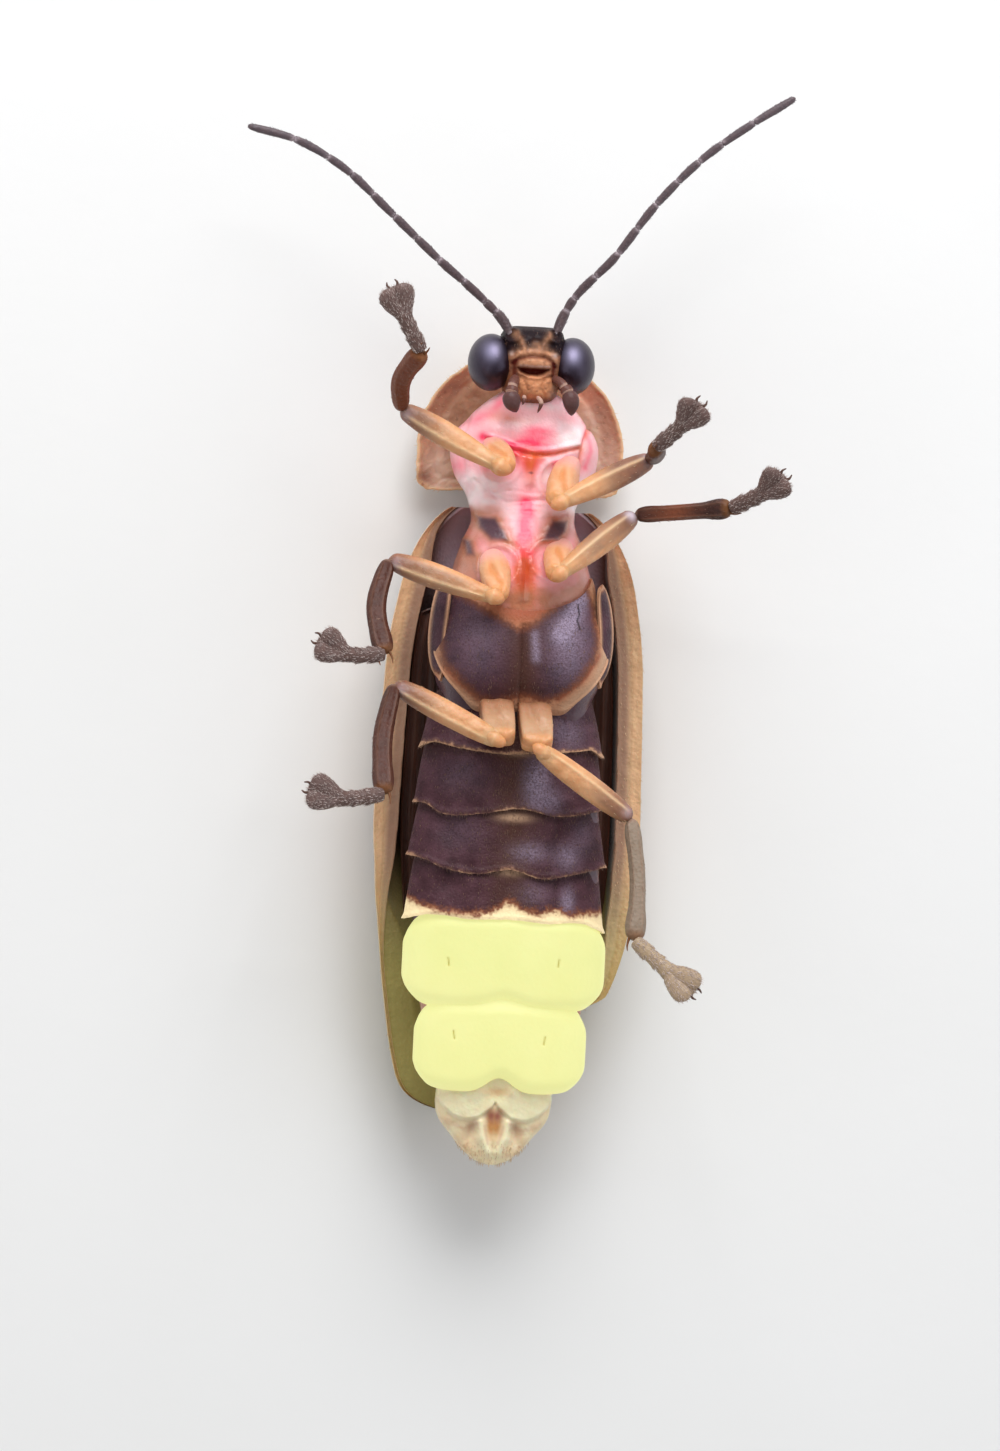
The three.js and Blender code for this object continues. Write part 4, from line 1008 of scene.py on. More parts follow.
# %% [markdown]
# ## The wing cases
#
# The front wings of a beetle are hard cases. Each is a long shallow trough: a domed back with two
# or three low ribs, a rounded tan edge, and inside it a flat rim that is turned under. From below
# we see that rim and the dark inside wall. One closed section is drawn from the middle line out
# over the back, round the edge, along the rim and back inside, and the section follows the outline
# of the case from shoulder to tip.

# %% Sections of a wing case
CASE = {"front": -1.36, "half_width": 2.3, "rim": 1.45, "round": 2.6}
CASE_SIDES = {
    "right": {"side": -1, "tip": -11.72, "narrow": 0.3, "bend": 1.5, "blunt": 24, "thins": -6.6,
              "tuck": 0.0},
    "left": {"side": 1, "tip": -11.2, "narrow": 0.72, "bend": 3.4, "blunt": 40, "thins": -8.0,
             "tuck": 0.24},
}


def case_edge(case, share):
    rear = np.clip(share * 2 - 1, 0, 1)
    widening = 1 - 0.48 * np.exp(-((share / 0.095) ** 0.85))
    narrowing = 1 - case["narrow"] * rear ** case["bend"]
    return CASE["half_width"] * widening * narrowing * np.sqrt(1 - 0.8 * rear ** case["blunt"])


def case_seam(y, share):
    """How far the inner edge is from the middle line: beside the small triangle, then close to it."""
    beside = blend(0.42, 0.04, np.clip((-1.56 - y) / 0.94, 0, 1)) + 0.25
    return blend(beside, 0.125, ease((-2.5 - y) / 0.6)) + 0.3 * np.clip((share - 0.92) / 0.08, 0, 1) ** 2


def case_height(share):
    lowered = 0.28 * (1 - np.clip(share / 0.12, 0, 1)) ** 2
    return CASE["rim"] - lowered - 0.4 * np.clip((share - 0.55) / 0.45, 0, 1) ** 2


def case_dome(ratio):
    return 1 - (1 - np.clip(ratio, 0, 1) ** CASE["round"]) ** (1 / CASE["round"])


def wing_case(name, case, rows=230, out_steps=60, in_steps=46):
    share = (1 - np.cos(np.linspace(0, 1, rows) * np.pi)) / 2
    share = blend(share, np.linspace(0, 1, rows), 0.6)[:, None]
    y = blend(CASE["front"], case["tip"], share)
    edge, seam, height = case_edge(case, share), case_seam(y, share), case_height(share)
    edge = edge * (1 - case["tuck"] * ease((-9.6 - y) / 0.4))
    end = 0.16 * np.clip((share - 0.75) / 0.25, 0, 1) ** 2 + 0.12 * (1 - np.clip(share / 0.1, 0, 1)) ** 2
    out = np.sin(np.linspace(0, 1, out_steps) * np.pi / 2)[None, :]
    x_out = blend(seam, edge, out)
    ribs = sum(np.exp(-(((x_out / edge - at) / 0.022) ** 2)) for at in (0.28, 0.5, 0.7))
    fade = ease(share / 0.15) * ease((0.93 - share) / 0.2)
    z_out = height * case_dome(x_out / edge) + end - 0.02 - 0.018 * ribs * fade
    z_out = np.maximum(z_out, 0.0) + 0.012
    room = np.clip((edge - seam) / 1.2, 0.25, 1)
    thinning = (1 - 0.9 * ease((case["thins"] - y) / 2.6)) * (1 - 0.5 * ease((y + 2.6) / 0.9))
    rim_wide = 0.4 * room * thinning + 0.02
    turned = np.linspace(0, 1, 26)[None, :]
    x_rim = edge + 0.02 * np.sin(turned * np.pi) - rim_wide * turned
    z_rim = height + end + 0.05 * np.sin(turned * np.pi * 0.5) - 0.06 * np.sin(turned * np.pi)
    z_rim = z_rim + bumps(turned, 0, [(0.035, 0.97, 0, 0.05, 1), (-0.02, 0.54, 0, 0.12, 1)])
    z_rim = z_rim - 0.1 * turned + 0.008 * mottle(x_rim, y, 0.1, 12)
    inner = np.linspace(0, 1, in_steps)[None, :]
    x_in = blend(edge - rim_wide, seam, 1 - np.cos(inner * np.pi / 2))
    wall = edge - 0.1 - 0.02 * inner
    z_in = np.maximum(height * case_dome(x_in / wall) * 0.96 + end, 0.0) + 0.13
    z_in = z_in + 0.8 * ease((-7.0 - y) / 2.0) + 0.55 * ease((y + 3.4) / 0.8)
    z_in = np.minimum(z_in, z_rim[:, -1:] - 0.03 + 0 * z_in)
    z_in = blend(z_rim[:, -1:] - 0.04, z_in, ease(inner / 0.12))
    x = np.concatenate([x_out, x_rim, x_in], 1)
    z = np.concatenate([z_out, z_rim, z_in], 1)
    x = x + 0.01 * mottle(y, 0 * y, 0.5, 3) * ease((x - 1) / 1)
    rings = np.stack([case["side"] * x, y + 0 * x, z], -1)
    pale_out = ease((x_out / edge - 0.86) / 0.06) + ease((seam + 0.16 - x_out) / 0.06) + 0 * z_out
    rim_mark = np.ones((rows, 26))
    inner_rim = ease((turned - 0.34) / 0.4) + 0 * share
    pale_in = ease((0.06 - inner) / 0.05) + 0 * z_in
    # The shoulder of the inside wall is grey-lilac, painted much lighter than it is: painted light in the
    # shaded trough.
    shoulder = ease((y + 3.6) / 1.0) * ease((inner - 0.12) / 0.5)
    fur = [(0.3 + 0.7 * pale_out) * (z_out > 0.06), 1.2 - 0.9 * turned + 0 * z_rim, 0 * z_in]
    marks = {
        "pale": np.concatenate([np.clip(pale_out, 0, 1), rim_mark, pale_in], 1),
        "inside": np.concatenate([0 * z_out, 0 * z_rim, 1 + 0 * z_in], 1),
        "inner_rim": np.concatenate([0 * z_out, inner_rim, 0 * z_in], 1),
        # Painted light from the lantern: olive colour and a glow on the case near the tail.
        "glow": ease((-7.0 - y) / 2.6) + 0 * x,
        "shoulder": np.concatenate([0 * z_out, 0 * z_rim, shoulder], 1),
        "fur": np.concatenate(fur, 1) * (1 - 0.7 * ease((-8.0 - y) / 1.5)),
        "lie": np.broadcast_to(np.array([case["side"] * 0.35, -1.0, 0.0]), rings.shape),
    }
    clay = Clay()
    clay.shell(rings, marks)
    return clay.make(name, crisp=70)


# %% [markdown]
# The finish of the cases: dark brown leather with fine grain and punctures, pale yellow-brown along
# the edges. The tan rim is grainy, with darker specks. The inside wall is red-brown; at the
# shoulders it is grey-lilac, painted much lighter than it is as painted light in the shaded trough.
# Near the lantern the shell is painted olive and given a glow: painted light from the lantern.

# %% Wing case finish
look = Finish("wing_case_leather", Emission_Strength=0.18, Sheen_Weight=0.15, Subsurface_Weight=0.12,
              Subsurface_Scale=0.0003, Coat_Weight=0.08)
case_cloud, case_grain = look.noise(0.4, 4), look.noise(0.045, 5, 0.65)
streaks = look.noise(0.1, 4, 0.6, (1, 0.12, 1))
tan = look.mix(colour(216, 168, 124), colour(246, 206, 158), case_cloud * 0.9 + case_grain * 0.5 - 0.2)
tan = look.paint(tan, inner_rim=(128, 90, 72, 0.85))
tan = look.mix(tan, colour(150, 108, 74), look.cells(0.07).between(0.2, 0.04) * 0.35)
back = look.mix(colour(40, 26, 24), colour(66, 44, 36), case_cloud)
wall = look.mix(colour(62, 30, 16), colour(100, 60, 38), streaks * 0.6 + 0.1)
leather = look.mix(back, wall, look.mark("inside"))
# Painted light: the shaded inside wall at the shoulder is painted a light grey-lilac.
leather = look.mix(leather, colour(206, 180, 192), look.mark("shoulder") * look.mark("inside"))
leather = look.mix(leather, tan, look.mark("pale"))
# Painted light from the lantern: olive colour near the tail.
painted_lantern_olive = look.mix(colour(150, 140, 76), colour(212, 192, 130), look.mark("pale"))
leather = look.mix(leather, painted_lantern_olive, look.mark("glow") * (streaks * 0.3 + 0.65))
# Painted light from the lantern: a glow on the inside wall near the tail.
painted_lantern_emission = look.mix(colour(0, 0, 0), painted_lantern_olive, look.mark("glow") * look.mark("inside"))
look.use(Emission_Color=painted_lantern_emission, Base_Color=leather, Roughness=case_grain * 0.35 + 0.36)
look.relief(case_grain * 0.5 + look.cells(0.07) * 0.6, 0.014)
cases = {}
for name, case in CASE_SIDES.items():
    cases[name] = hand_over(wing_case(f"wing_case_{name}", case), look, "wing_case", f"elytron_{name}")

# %% [markdown]
# ## The folded wings
#
# The flying wings lie between the cases and the body, folded lengthwise. Only their edges show, as
# smoky brown pleats beside the abdomen. Each is a thin sheet with long pleats and raised veins.

# %% Folded wings
def folded_wing(name, case, rows=150, columns=90):
    share = np.linspace(0, 1, rows)[:, None]
    across = np.linspace(0, 1, columns)[None, :]
    y = blend(-3.0, -10.5, share) + 0 * across
    case_share = (y - CASE["front"]) / (case["tip"] - CASE["front"])
    closing = np.minimum(1, np.minimum((share / 0.1) ** 0.5 + 0.5, ((1 - share) / 0.2) ** 0.5 + 0.5))
    limit = (case_edge(case, case_share) - 0.5) * closing
    x = blend(0.13, limit, across)
    lifted = (0.5 - 0.25 * ease((share - 0.6) / 0.4)) * case_dome(x / (limit * 1.06))
    height = 0.86 + lifted - 0.1 * (1 - across)
    pleats = np.sin((across * 7 + 0.25 * mottle(y, 0 * y, 1.3, 2)) * 2 * np.pi)
    pleats = 0.025 * pleats * ease(across / 0.2)
    veins = 0.015 * np.exp(-((((across * 6) % 1) - 0.5) ** 2) / 0.004)
    branch = sum(crease(across, share, [(a, 0.05), (b, 0.6), (b + 0.1, 0.98)], 0.012)
                 for a, b in ((0.5, 0.62), (0.3, 0.42)))
    z = height + pleats + veins + 0.015 * branch + 0.01 * mottle(x, y, 0.3, 7)
    grid = np.stack(np.broadcast_arrays(case["side"] * x, y, z), -1)
    clay = Clay()
    clay.plate(grid, 0.03, {"vein": np.clip(veins / 0.015 + branch, 0, 1) + 0 * y,
                            # Painted light from the lantern: olive colour near the tail.
                            "glow": ease((-7.6 - y) / 2.4) + 0 * x})
    return clay.make(name)


look = Finish("smoky_wing", Subsurface_Weight=0.2, Subsurface_Scale=0.0002, Coat_Weight=0.15,
              Coat_Roughness=0.25)
smoke = look.noise(0.25, 4, 0.6, (1, 0.2, 1))
membrane = look.mix(colour(54, 26, 17), colour(96, 56, 40), smoke * 1.2 - 0.15)
# The olive near the tail is painted light from the lantern.
membrane = look.paint(membrane, vein=(98, 64, 46, 0.45), glow=(126, 118, 58, 0.65))
look.use(Base_Color=membrane, Roughness=smoke * 0.3 + 0.3)
look.relief(look.noise(0.06, 3, 0.6, (1, 0.2, 1)), 0.015)
for name, case in CASE_SIDES.items():
    hand_over(folded_wing(f"folded_wing_{name}", case), look, "wing", f"hindwing_{name}")

# %% [markdown]
# ## The shield
#
# A broad thin plate covers the head like the peak of a cap. Seen from below it is a shallow dish:
# its middle rests on the floor and its thin rim, through which light shines, is drawn out all
# round, with pits and brown flecks. The outline is an oval in front and nearly square behind. The
# upper side, which faces the floor, is pale with a dark spot on a rosy ground.

# %% Shield
SHIELD = {"front": 1.38, "widest": -0.3, "rear": -1.04, "half_width": 1.78, "corner": 0.1}


def shield_edge(angle):
    sin, cos = np.sin(angle), np.cos(angle)
    front_y = SHIELD["widest"] + (SHIELD["front"] - SHIELD["widest"]) * cos
    pull = SHIELD["corner"] * (sin * cos) ** 2 * 4
    rear_x = SHIELD["half_width"] * rooted(sin, 0.4) * (1 + pull * 0.4)
    rear_y = SHIELD["widest"] + (SHIELD["rear"] - SHIELD["widest"]) * np.abs(cos) ** 0.42 - pull
    ragged = 1 + 0.008 * mottle(angle * 3, 0 * angle, 0.35, 5)
    ragged = ragged + 0.004 * mottle(angle * 9, 0 * angle, 0.35, 6)
    x = np.where(cos > 0, SHIELD["half_width"] * sin, rear_x) * ragged
    return x, np.where(cos > 0, front_y, rear_y) * ragged


def shield_piece(spokes=300, steps=70):
    angle = (np.arange(spokes) / spokes * 2 * np.pi)[None, :]
    edge_x, edge_y = shield_edge(angle)
    lift = blend(np.where(np.cos(angle) > 0, 0.5, 0.3), 0.62, np.sin(angle) ** 2)
    share = np.linspace(0.02, 1, steps)[:, None] ** 0.8

    def side(height, dent):
        x, y = edge_x * share, edge_y * share
        dome = np.maximum(0, lift * share**2.2 - 0.03)
        folded = 0.04 * crease(share + 0 * angle, 0 * share + angle, [(0.8, -9), (0.8, 9)], 0.05)
        relief = dent * (0.012 * mottle(x, y, 0.2, 3) + 0.006 * mottle(x, y, 0.07, 4) - folded)
        return np.stack([x, y, dome + height + relief], -1)

    outer = side(0.0, 0.0)
    thick = 0.13 * (1 - ease((share - 0.72) / 0.2) * 0.45) + 0 * angle
    inner = side(thick + 0.02 * ease(share / 0.3), ease((share - 0.3) / 0.3))
    inner[..., 2] += 0.03 * np.exp(-(((share - 0.975) / 0.02) ** 2))
    rings = np.concatenate([outer, inner[::-1]], 0)
    x, y = rings[..., 0], rings[..., 1]
    reach = np.concatenate([share, share[::-1]], 0) + 0 * x
    below = np.concatenate([0 * outer[..., 0], 1 + 0 * outer[..., 0]], 0)
    brown = bumps(x, y, [
        (0.9, -1.62, -0.86, 0.16, 0.12), (0.5, 1.34, 0.5, 0.1, 0.2, 25),
        (0.3, -1.2, 0.62, 0.24, 0.2, 40), (0.25, 1.5, -0.1, 0.08, 0.3), (0.3, -1.5, 0.1, 0.1, 0.3),
    ])
    orange = bumps(x, y, [(0.6, 1.1, 0.62, 0.3, 0.34, -40), (0.1, 1.5, -0.3, 0.2, 0.6)])
    milk = bumps(x, y, [
        (0.9, -1.4, -0.75, 0.3, 0.34), (0.15, -1.3, -0.2, 0.2, 0.4), (0.8, 1.45, -0.5, 0.35, 0.6),
        (0.8, 1.15, 0.4, 0.26, 0.34),
    ])
    rosy = (1 - below) * bumps(x, y, [(1, -0.36, -0.2, 0.3, 0.6), (1, 0.36, -0.2, 0.3, 0.6)])
    spot = (1 - below) * within(x, y, [(-0.25, 0.35), (0.25, 0.35), (0.2, -0.9), (-0.2, -0.9)], 0.1)
    outward = np.stack([x, y, 0 * x], -1)
    outward /= np.linalg.norm(outward, axis=-1, keepdims=True) + 1e-9
    marks = dict(brown=brown, orange=orange, milk=milk, rosy=rosy, spot=spot,
                 edge=ease((reach - 0.93) / 0.06), fur=ease((reach - 0.6) / 0.3), lie=outward)
    clay = Clay()
    clay.shell(rings, {n: np.clip(v, -1, 1) for n, v in marks.items()})
    return clay.make("shield", crisp=70)


look = Finish("shield_horn", Subsurface_Weight=0.3, Subsurface_Scale=0.0004, Coat_Weight=0.2,
              Coat_Roughness=0.2)
horn_cloud, horn_grain = look.noise(0.3, 4), look.noise(0.05, 4)
horn = look.mix(colour(146, 102, 78), colour(204, 162, 128), horn_cloud * 1.3 - 0.15)
horn = look.paint(horn, milk=(228, 204, 184, 0.85), orange=(238, 168, 134, 0.9),
                  edge=(228, 192, 152, 0.8))
flecks = look.cells(0.16).between(0.3, 0.05) * look.noise(0.4).between(0.45, 0.6)
horn = look.mix(horn, colour(96, 52, 32), flecks * 0.45 + look.mark("brown") * horn_cloud * 1.3)
horn = look.paint(horn, rosy=(222, 120, 112, 1), spot=(34, 20, 20, 1))
look.use(Base_Color=horn, Roughness=horn_grain * 0.3 + 0.3)
look.relief(look.cells(0.11) * 0.6 + horn_grain * 0.4, 0.018)
shield = hand_over(shield_piece(), look, "shield", "pronotum")

# %% [markdown]
# ## The head
#
# A firefly's head is small and mostly eyes. We look at its face from below: on top a dark brow with
# two sockets for the feelers and a pale ridge running down from each, then a tan arch, the upper
# lip over the slit of the mouth, and a tan chin. The face could be put together from small parts,
# but they are fused in the real head, so one shell is laid over oval sections and its features are
# hills and creases, as on the skin. Only the jaws' feelers are pieces of their own.

# %% Head sections
HEAD = [
    (0.36, 0.26, 1.3, 2.0, 1.7), (0.5, 0.4, 1.22, 2.28, 1.72), (0.7, 0.47, 1.16, 2.38, 1.75),
    (0.95, 0.5, 1.12, 2.42, 1.76), (1.2, 0.53, 1.12, 2.46, 1.78), (1.45, 0.55, 1.14, 2.42, 1.8),
    (1.6, 0.53, 1.2, 2.34, 1.8), (1.7, 0.47, 1.32, 2.2, 1.8), (1.76, 0.34, 1.5, 2.0, 1.78),
]
ARCH = [(-0.38, 1.2), (-0.28, 1.27), (-0.08, 1.31), (0.16, 1.31), (0.29, 1.25), (0.35, 1.16)]
SOCKETS = [(-0.4, 1.6), (0.34, 1.62)]
BROW_RIDGES = [[(-0.34, 1.62), (-0.2, 1.38)], [(0.24, 1.62), (0.1, 1.4)]]
MOUTH = [(-0.28, 1.04), (-0.22, 0.97), (-0.1, 0.93), (0.04, 0.925), (0.15, 0.96), (0.25, 1.03),
         (0.0, 1.035)]
LIP = [(-0.3, 1.05), (-0.27, 1.14), (-0.16, 1.2), (0.0, 1.215), (0.16, 1.19), (0.25, 1.13),
       (0.27, 1.05), (0.0, 1.045)]
CHIN = [(-0.32, 0.86), (0.3, 0.88), (0.36, 0.66), (0.28, 0.56), (-0.05, 0.52), (-0.28, 0.56),
        (-0.36, 0.68)]


def head_relief(x, y):
    form = bumps(x, y, [
        (0.03, -0.01, 0.66, 0.08, 0.08), (-0.05, 0.0, 1.5, 0.1, 0.1),
    ], [
        (0.035, 0.06, ARCH), (0.04, 0.035, [(-0.3, 0.96), (-0.1, 0.87), (0.06, 0.87), (0.28, 0.95)]),
        (-0.03, 0.03, [(-0.16, 0.8), (-0.12, 0.66), (-0.18, 0.56)]),
        (-0.03, 0.03, [(0.16, 0.82), (0.13, 0.68), (0.2, 0.56)]),
    ]) - 0.03 * crease(x, y + 0.085, ARCH, 0.03)
    form += 0.07 * within(x, y, LIP, 0.06) - 0.13 * within(x, y, MOUTH, 0.04)
    form += 0.06 * within(x, y, CHIN, 0.1)
    for ridge in BROW_RIDGES:
        form += 0.035 * crease(x, y, ridge, 0.05)
    for sx, sy in SOCKETS:
        away = np.hypot(x - sx, y - sy)
        form += 0.08 * np.exp(-(((away - 0.12) / 0.045) ** 2)) - 0.06 * np.exp(-((away / 0.08) ** 2))
    form -= bumps(x, y, [(0.05, -0.36, 1.02, 0.06, 0.14), (0.05, 0.34, 1.0, 0.06, 0.14)])
    return form + 0.008 * mottle(x, y, 0.06, 3) + 0.006 * mottle(x, y, 0.03, 4)


def head_marks(x, y):
    brow = ease((y - 1.27 - 0.05 * np.cos(x * 5)) / 0.06)
    tan = 0.8 * within(x, y, LIP, 0.06) + bumps(x, y, [
        (0.4, 0, 1.02, 0.4, 0.1), (0.3, 0.0, 1.46, 0.06, 0.06),
    ], [
        (0.65, 0.08, ARCH), (0.42, 0.06, BROW_RIDGES[0]), (0.42, 0.06, BROW_RIDGES[1]),
    ])
    orange = within(x, y, CHIN, 0.06) + 0.5 * hill(x, y, (0, 0.86), (0.34, 0.06))
    # The mouth mark is the dark slit of the mouth, and painted shade in the groove under the arch and
    # beside the upper lip.
    mouth = 1.2 * within(x, y, MOUTH, 0.03) + 0.6 * crease(x, y + 0.085, ARCH, 0.03)
    mouth += bumps(x, y, [], [
        (0.8, 0.045, [(-0.34, 1.14), (-0.33, 0.92)]), (0.8, 0.045, [(0.33, 1.12), (0.33, 0.92)]),
    ])
    # The pale mark is painted highlight along the lip's lower edge and at the ends of the arch, and a
    # pale line down one side of the chin.
    pale = bumps(x, y, [
        (0.5, -0.4, 1.27, 0.04, 0.04), (0.6, 0.33, 1.26, 0.06, 0.04),
    ], [
        (0.6, 0.02, [(-0.25, 1.07), (0, 1.06), (0.24, 1.07)]),
        (0.4, 0.03, [(-0.32, 0.9), (-0.33, 0.72)]),
    ])
    noise = 1 + 0.5 * mottle(x, y, 0.05, 8)
    marks = dict(brow=brow, tan=tan * noise, orange=orange * noise, mouth=mouth, pale=pale * noise)
    return {n: np.clip(v, 0, 1) for n, v in marks.items()}


def head_rings():
    even = np.linspace(0, 1, 150)
    y = blend(0.36, 1.76, (1 - np.cos(even * np.pi)) / 2 * 0.4 + even * 0.6)
    angle = np.concatenate([np.linspace(-1.7, 1.7, 150), np.linspace(1.7, 2 * np.pi - 1.7, 40)[1:-1]])
    rings = body_point(y[:, None], angle[None, :] + 0 * y[:, None], HEAD)
    x, place = rings[..., 0], rings[..., 1]
    facing = ease((np.cos(angle) + 0.1) / 0.4) * ease((place - 0.36) / 0.15) * ease((1.76 - place) / 0.05)
    rings[..., 2] += head_relief(x, place) * facing
    marks = head_marks(x, place)
    return rings, {**marks, "lie": tailwards(rings), "fur": 0.2 + 0.8 * marks["brow"]}


head_clay = Clay()
head_clay.shell(*head_rings())

# %% [markdown]
# The jaws carry two pairs of feelers. Each joint has a pale ring of skin at its foot, and the last
# joint of the large pair is a dark brown spindle with a blunt tip.

# %% Mouth feelers
PALPS = [
    ([(-0.3, 0.86, 2.3), (-0.36, 0.76, 2.46), (-0.39, 0.66, 2.52)], 0.16, 0.18),
    ([(-0.37, 0.69, 2.5), (-0.395, 0.58, 2.55)], 0.2, 0.22),
    ([(0.34, 0.88, 2.3), (0.46, 0.8, 2.46), (0.54, 0.7, 2.5)], 0.14, 0.16),
    ([(0.52, 0.74, 2.48), (0.58, 0.63, 2.53)], 0.19, 0.22),
]
SPINDLES = [
    ([(-0.41, 0.62, 2.53), (-0.39, 0.48, 2.57), (-0.29, 0.27, 2.5)], 0.28),
    ([(0.58, 0.68, 2.5), (0.63, 0.5, 2.55), (0.66, 0.26, 2.46)], 0.26),
]
LIP_FEELERS = [
    [(-0.16, 0.56, 2.4), (-0.17, 0.48, 2.5), (-0.19, 0.4, 2.5)],
    [(0.06, 0.56, 2.4), (0.13, 0.46, 2.48), (0.08, 0.28, 2.44)],
]
for path, first, last in PALPS:
    add_limb(head_clay, bent_line(path, 16),
             [(0, first, first), (0.7, last, last * 0.9), (1, last * 0.9, last * 0.8)],
             {"ring": lambda s: ease((s - 0.72) / 0.1), "palp": 1.0}, ends=(0.1, 0.25))
for path, wide in SPINDLES:
    widths = [(0, wide * 0.6, wide * 0.6), (0.2, wide, wide * 0.86), (0.6, wide * 0.98, wide * 0.8),
              (1, wide * 0.25, wide * 0.2)]
    add_limb(head_clay, bent_line(path, 26), widths,
             {"ring": lambda s: 1 - ease((s - 0.06) / 0.06), "palp": 1.0, "grey": 1.0},
             ends=(0.15, 0.12), around=24)
for path in LIP_FEELERS:
    add_limb(head_clay, bent_line(path, 18), [(0, 0.07, 0.07), (0.5, 0.075, 0.07), (1, 0.03, 0.03)],
             {"ring": lambda s: ease((0.55 - s) / 0.1), "palp": 1.0}, ends=(0.15, 0.2), around=14)
head_piece = head_clay.make("face")

# %% Head finish
look = Finish("head_shell", Coat_Weight=0.1, Coat_Roughness=0.12, Subsurface_Weight=0.08,
              Subsurface_Scale=0.0002, Specular_IOR_Level=0.14)
head_cloud, head_grain = look.noise(0.14, 4), look.noise(0.04, 4)
face = look.mix(colour(92, 50, 34), colour(150, 98, 70), head_cloud * 1.4 - 0.25)
face = look.mix(face, colour(26, 9, 16), look.mark("brow") * (head_cloud * 0.5 + 0.75))
# mouth paints the dark slit of the mouth and painted shade in the grooves beside it.
face = look.paint(face, tan=(206, 148, 112, 0.9), orange=(204, 138, 98, 1),
                  # pale is partly painted highlight, on the lip's lower edge and the arch's ends.
                  pale=(216, 186, 176, 1), mouth=(92, 26, 18, 1))
palp = look.mix(colour(104, 66, 58), colour(90, 62, 60), look.mark("grey"))
palp = look.paint(palp, ring=(186, 150, 134, 1))
face = look.mix(face, palp, look.mark("palp"))
look.use(Base_Color=face, Roughness=head_grain * 0.4 + look.mark("brow") * 0.25 + 0.2)
look.relief(head_grain * 0.6 + look.cells(0.045) * 0.4, 0.012)
head_piece = hand_over(head_piece, look, "head", "head")

# %% [markdown]
# ## The eyes
#
# Two big domes of several hundred fine facets. From a little way off they look smooth and nearly
# black, with a soft bluish highlight on their upper half, which is partly the lamps' reflection in
# their coat and partly a painted highlight in their colour. The facets are so small that they are
# laid as bump on a fine round dome; a real mesh of facets would only add triangles.

# %% Eyes
def eye(name, side, rows=70, around=110):
    centre = np.array([side * 0.7, 1.12, 1.86])
    local = ball_rings((0.49, 0.515, 0.47), rows, around, (side * 0.8, 0.1, 0.6)) * (0.8, 1, 1)
    rings = centre + local
    toward = np.array([side * 0.62, 0.1, 0.78])
    facing = local @ (toward / np.linalg.norm(toward)) / 0.48
    clay = Clay()
    # Painted highlight: a pale lilac patch on the upper half of each eye.
    bloom = hill(local[..., 0], local[..., 1], (-0.04, 0.17), (0.14, 0.16)) * (local[..., 2] > 0)
    clay.shell(rings, {"rim": ease((0.12 - facing) / 0.14), "low": ease((-0.05 - local[..., 1]) / 0.35),
                       "bloom": bloom})
    return clay.make(name)


look = Finish("compound_eye", Specular_IOR_Level=0.72, IOR=1.5)
look.shader.inputs["Specular Tint"].default_value = colour(228, 214, 250)
eye_cloud = look.noise(0.3, 2)
eye_tone = look.mix(colour(16, 7, 14), colour(28, 14, 22), eye_cloud)
# The pale lilac on the upper half of each eye is a painted highlight.
eye_tone = look.paint(eye_tone, low=(34, 12, 7, 0.9), rim=(52, 30, 24, 1), bloom=(146, 142, 170, 0.85))
look.use(Base_Color=eye_tone, Roughness=eye_cloud * 0.08 + 0.3)
look.relief(look.cells(0.024), 0.0022)
for name, side in (("right", -1), ("left", 1)):
    hand_over(eye(f"eye_dome_{name}", side), look, "eye", f"eye_{name}")

# %% [markdown]
# ## The feelers
#
# Each feeler has eleven joints: a thick club at the foot, a short second joint and nine long ones,
# each a little wider at its outer end. A ring of pale skin shows where two joints meet. Joints of
# one rule are strung along the bent line of the feeler.

# %% Feelers
FEELERS = {
    "right": (-1, [(0.4, 1.6, 2.1), (0.55, 1.84, 2.05), (0.84, 2.12, 2.05), (1.72, 2.82, 2.2),
                   (2.6, 3.58, 2.3), (3.4, 4.25, 2.42), (4.22, 4.68, 2.52), (5.1, 4.88, 2.6)]),
    "left": (1, [(0.36, 1.62, 2.1), (0.46, 1.9, 2.05), (0.6, 2.18, 2.05), (1.3, 3.0, 2.2),
                 (1.98, 3.96, 2.3), (2.74, 4.78, 2.42), (3.4, 5.3, 2.52), (4.22, 5.86, 2.6)]),
}
JOINT_ENDS = [0.0, 0.085, 0.125, 0.215, 0.31, 0.4, 0.49, 0.58, 0.665, 0.75, 0.86, 1.0]
LAST_JOINT = len(JOINT_ENDS) - 2


def feeler(name, side, path):
    line = bent_line(mirrored(path, side), 400)
    clay = Clay()
    for i, (start, end) in enumerate(zip(JOINT_ENDS, JOINT_ENDS[1:])):
        part = line[int(start * 399):int(end * 399) + 2]
        part = part[np.linspace(0, len(part) - 1, 26).astype(int)]
        tip = (0.172, 0.155, 0.15)[min(i, 2)] * (1 - 0.012 * i)
        foot = tip * 0.86
        widths = [(0, foot, foot * 0.9), (0.25, blend(foot, tip, 0.7), tip * 0.8),
                  (0.8, tip, tip * 0.88), (1, tip * 0.86, tip * 0.8)]
        if i == LAST_JOINT:
            widths = [(0, 0.12, 0.11), (0.3, 0.135, 0.12), (0.8, 0.13, 0.11), (1, 0.1, 0.09)]
        outer_ring = 0 if i == LAST_JOINT else 1

        def ring(share):
            return ease((0.15 - share) / 0.12) + outer_ring * ease((share - 0.85) / 0.12)

        marks = {"ring": ring, "tip": i / LAST_JOINT, "fur": 1.0}
        add_limb(clay, part, widths, marks, ends=(0.04, 0.06), around=22)
    return clay.make(name)


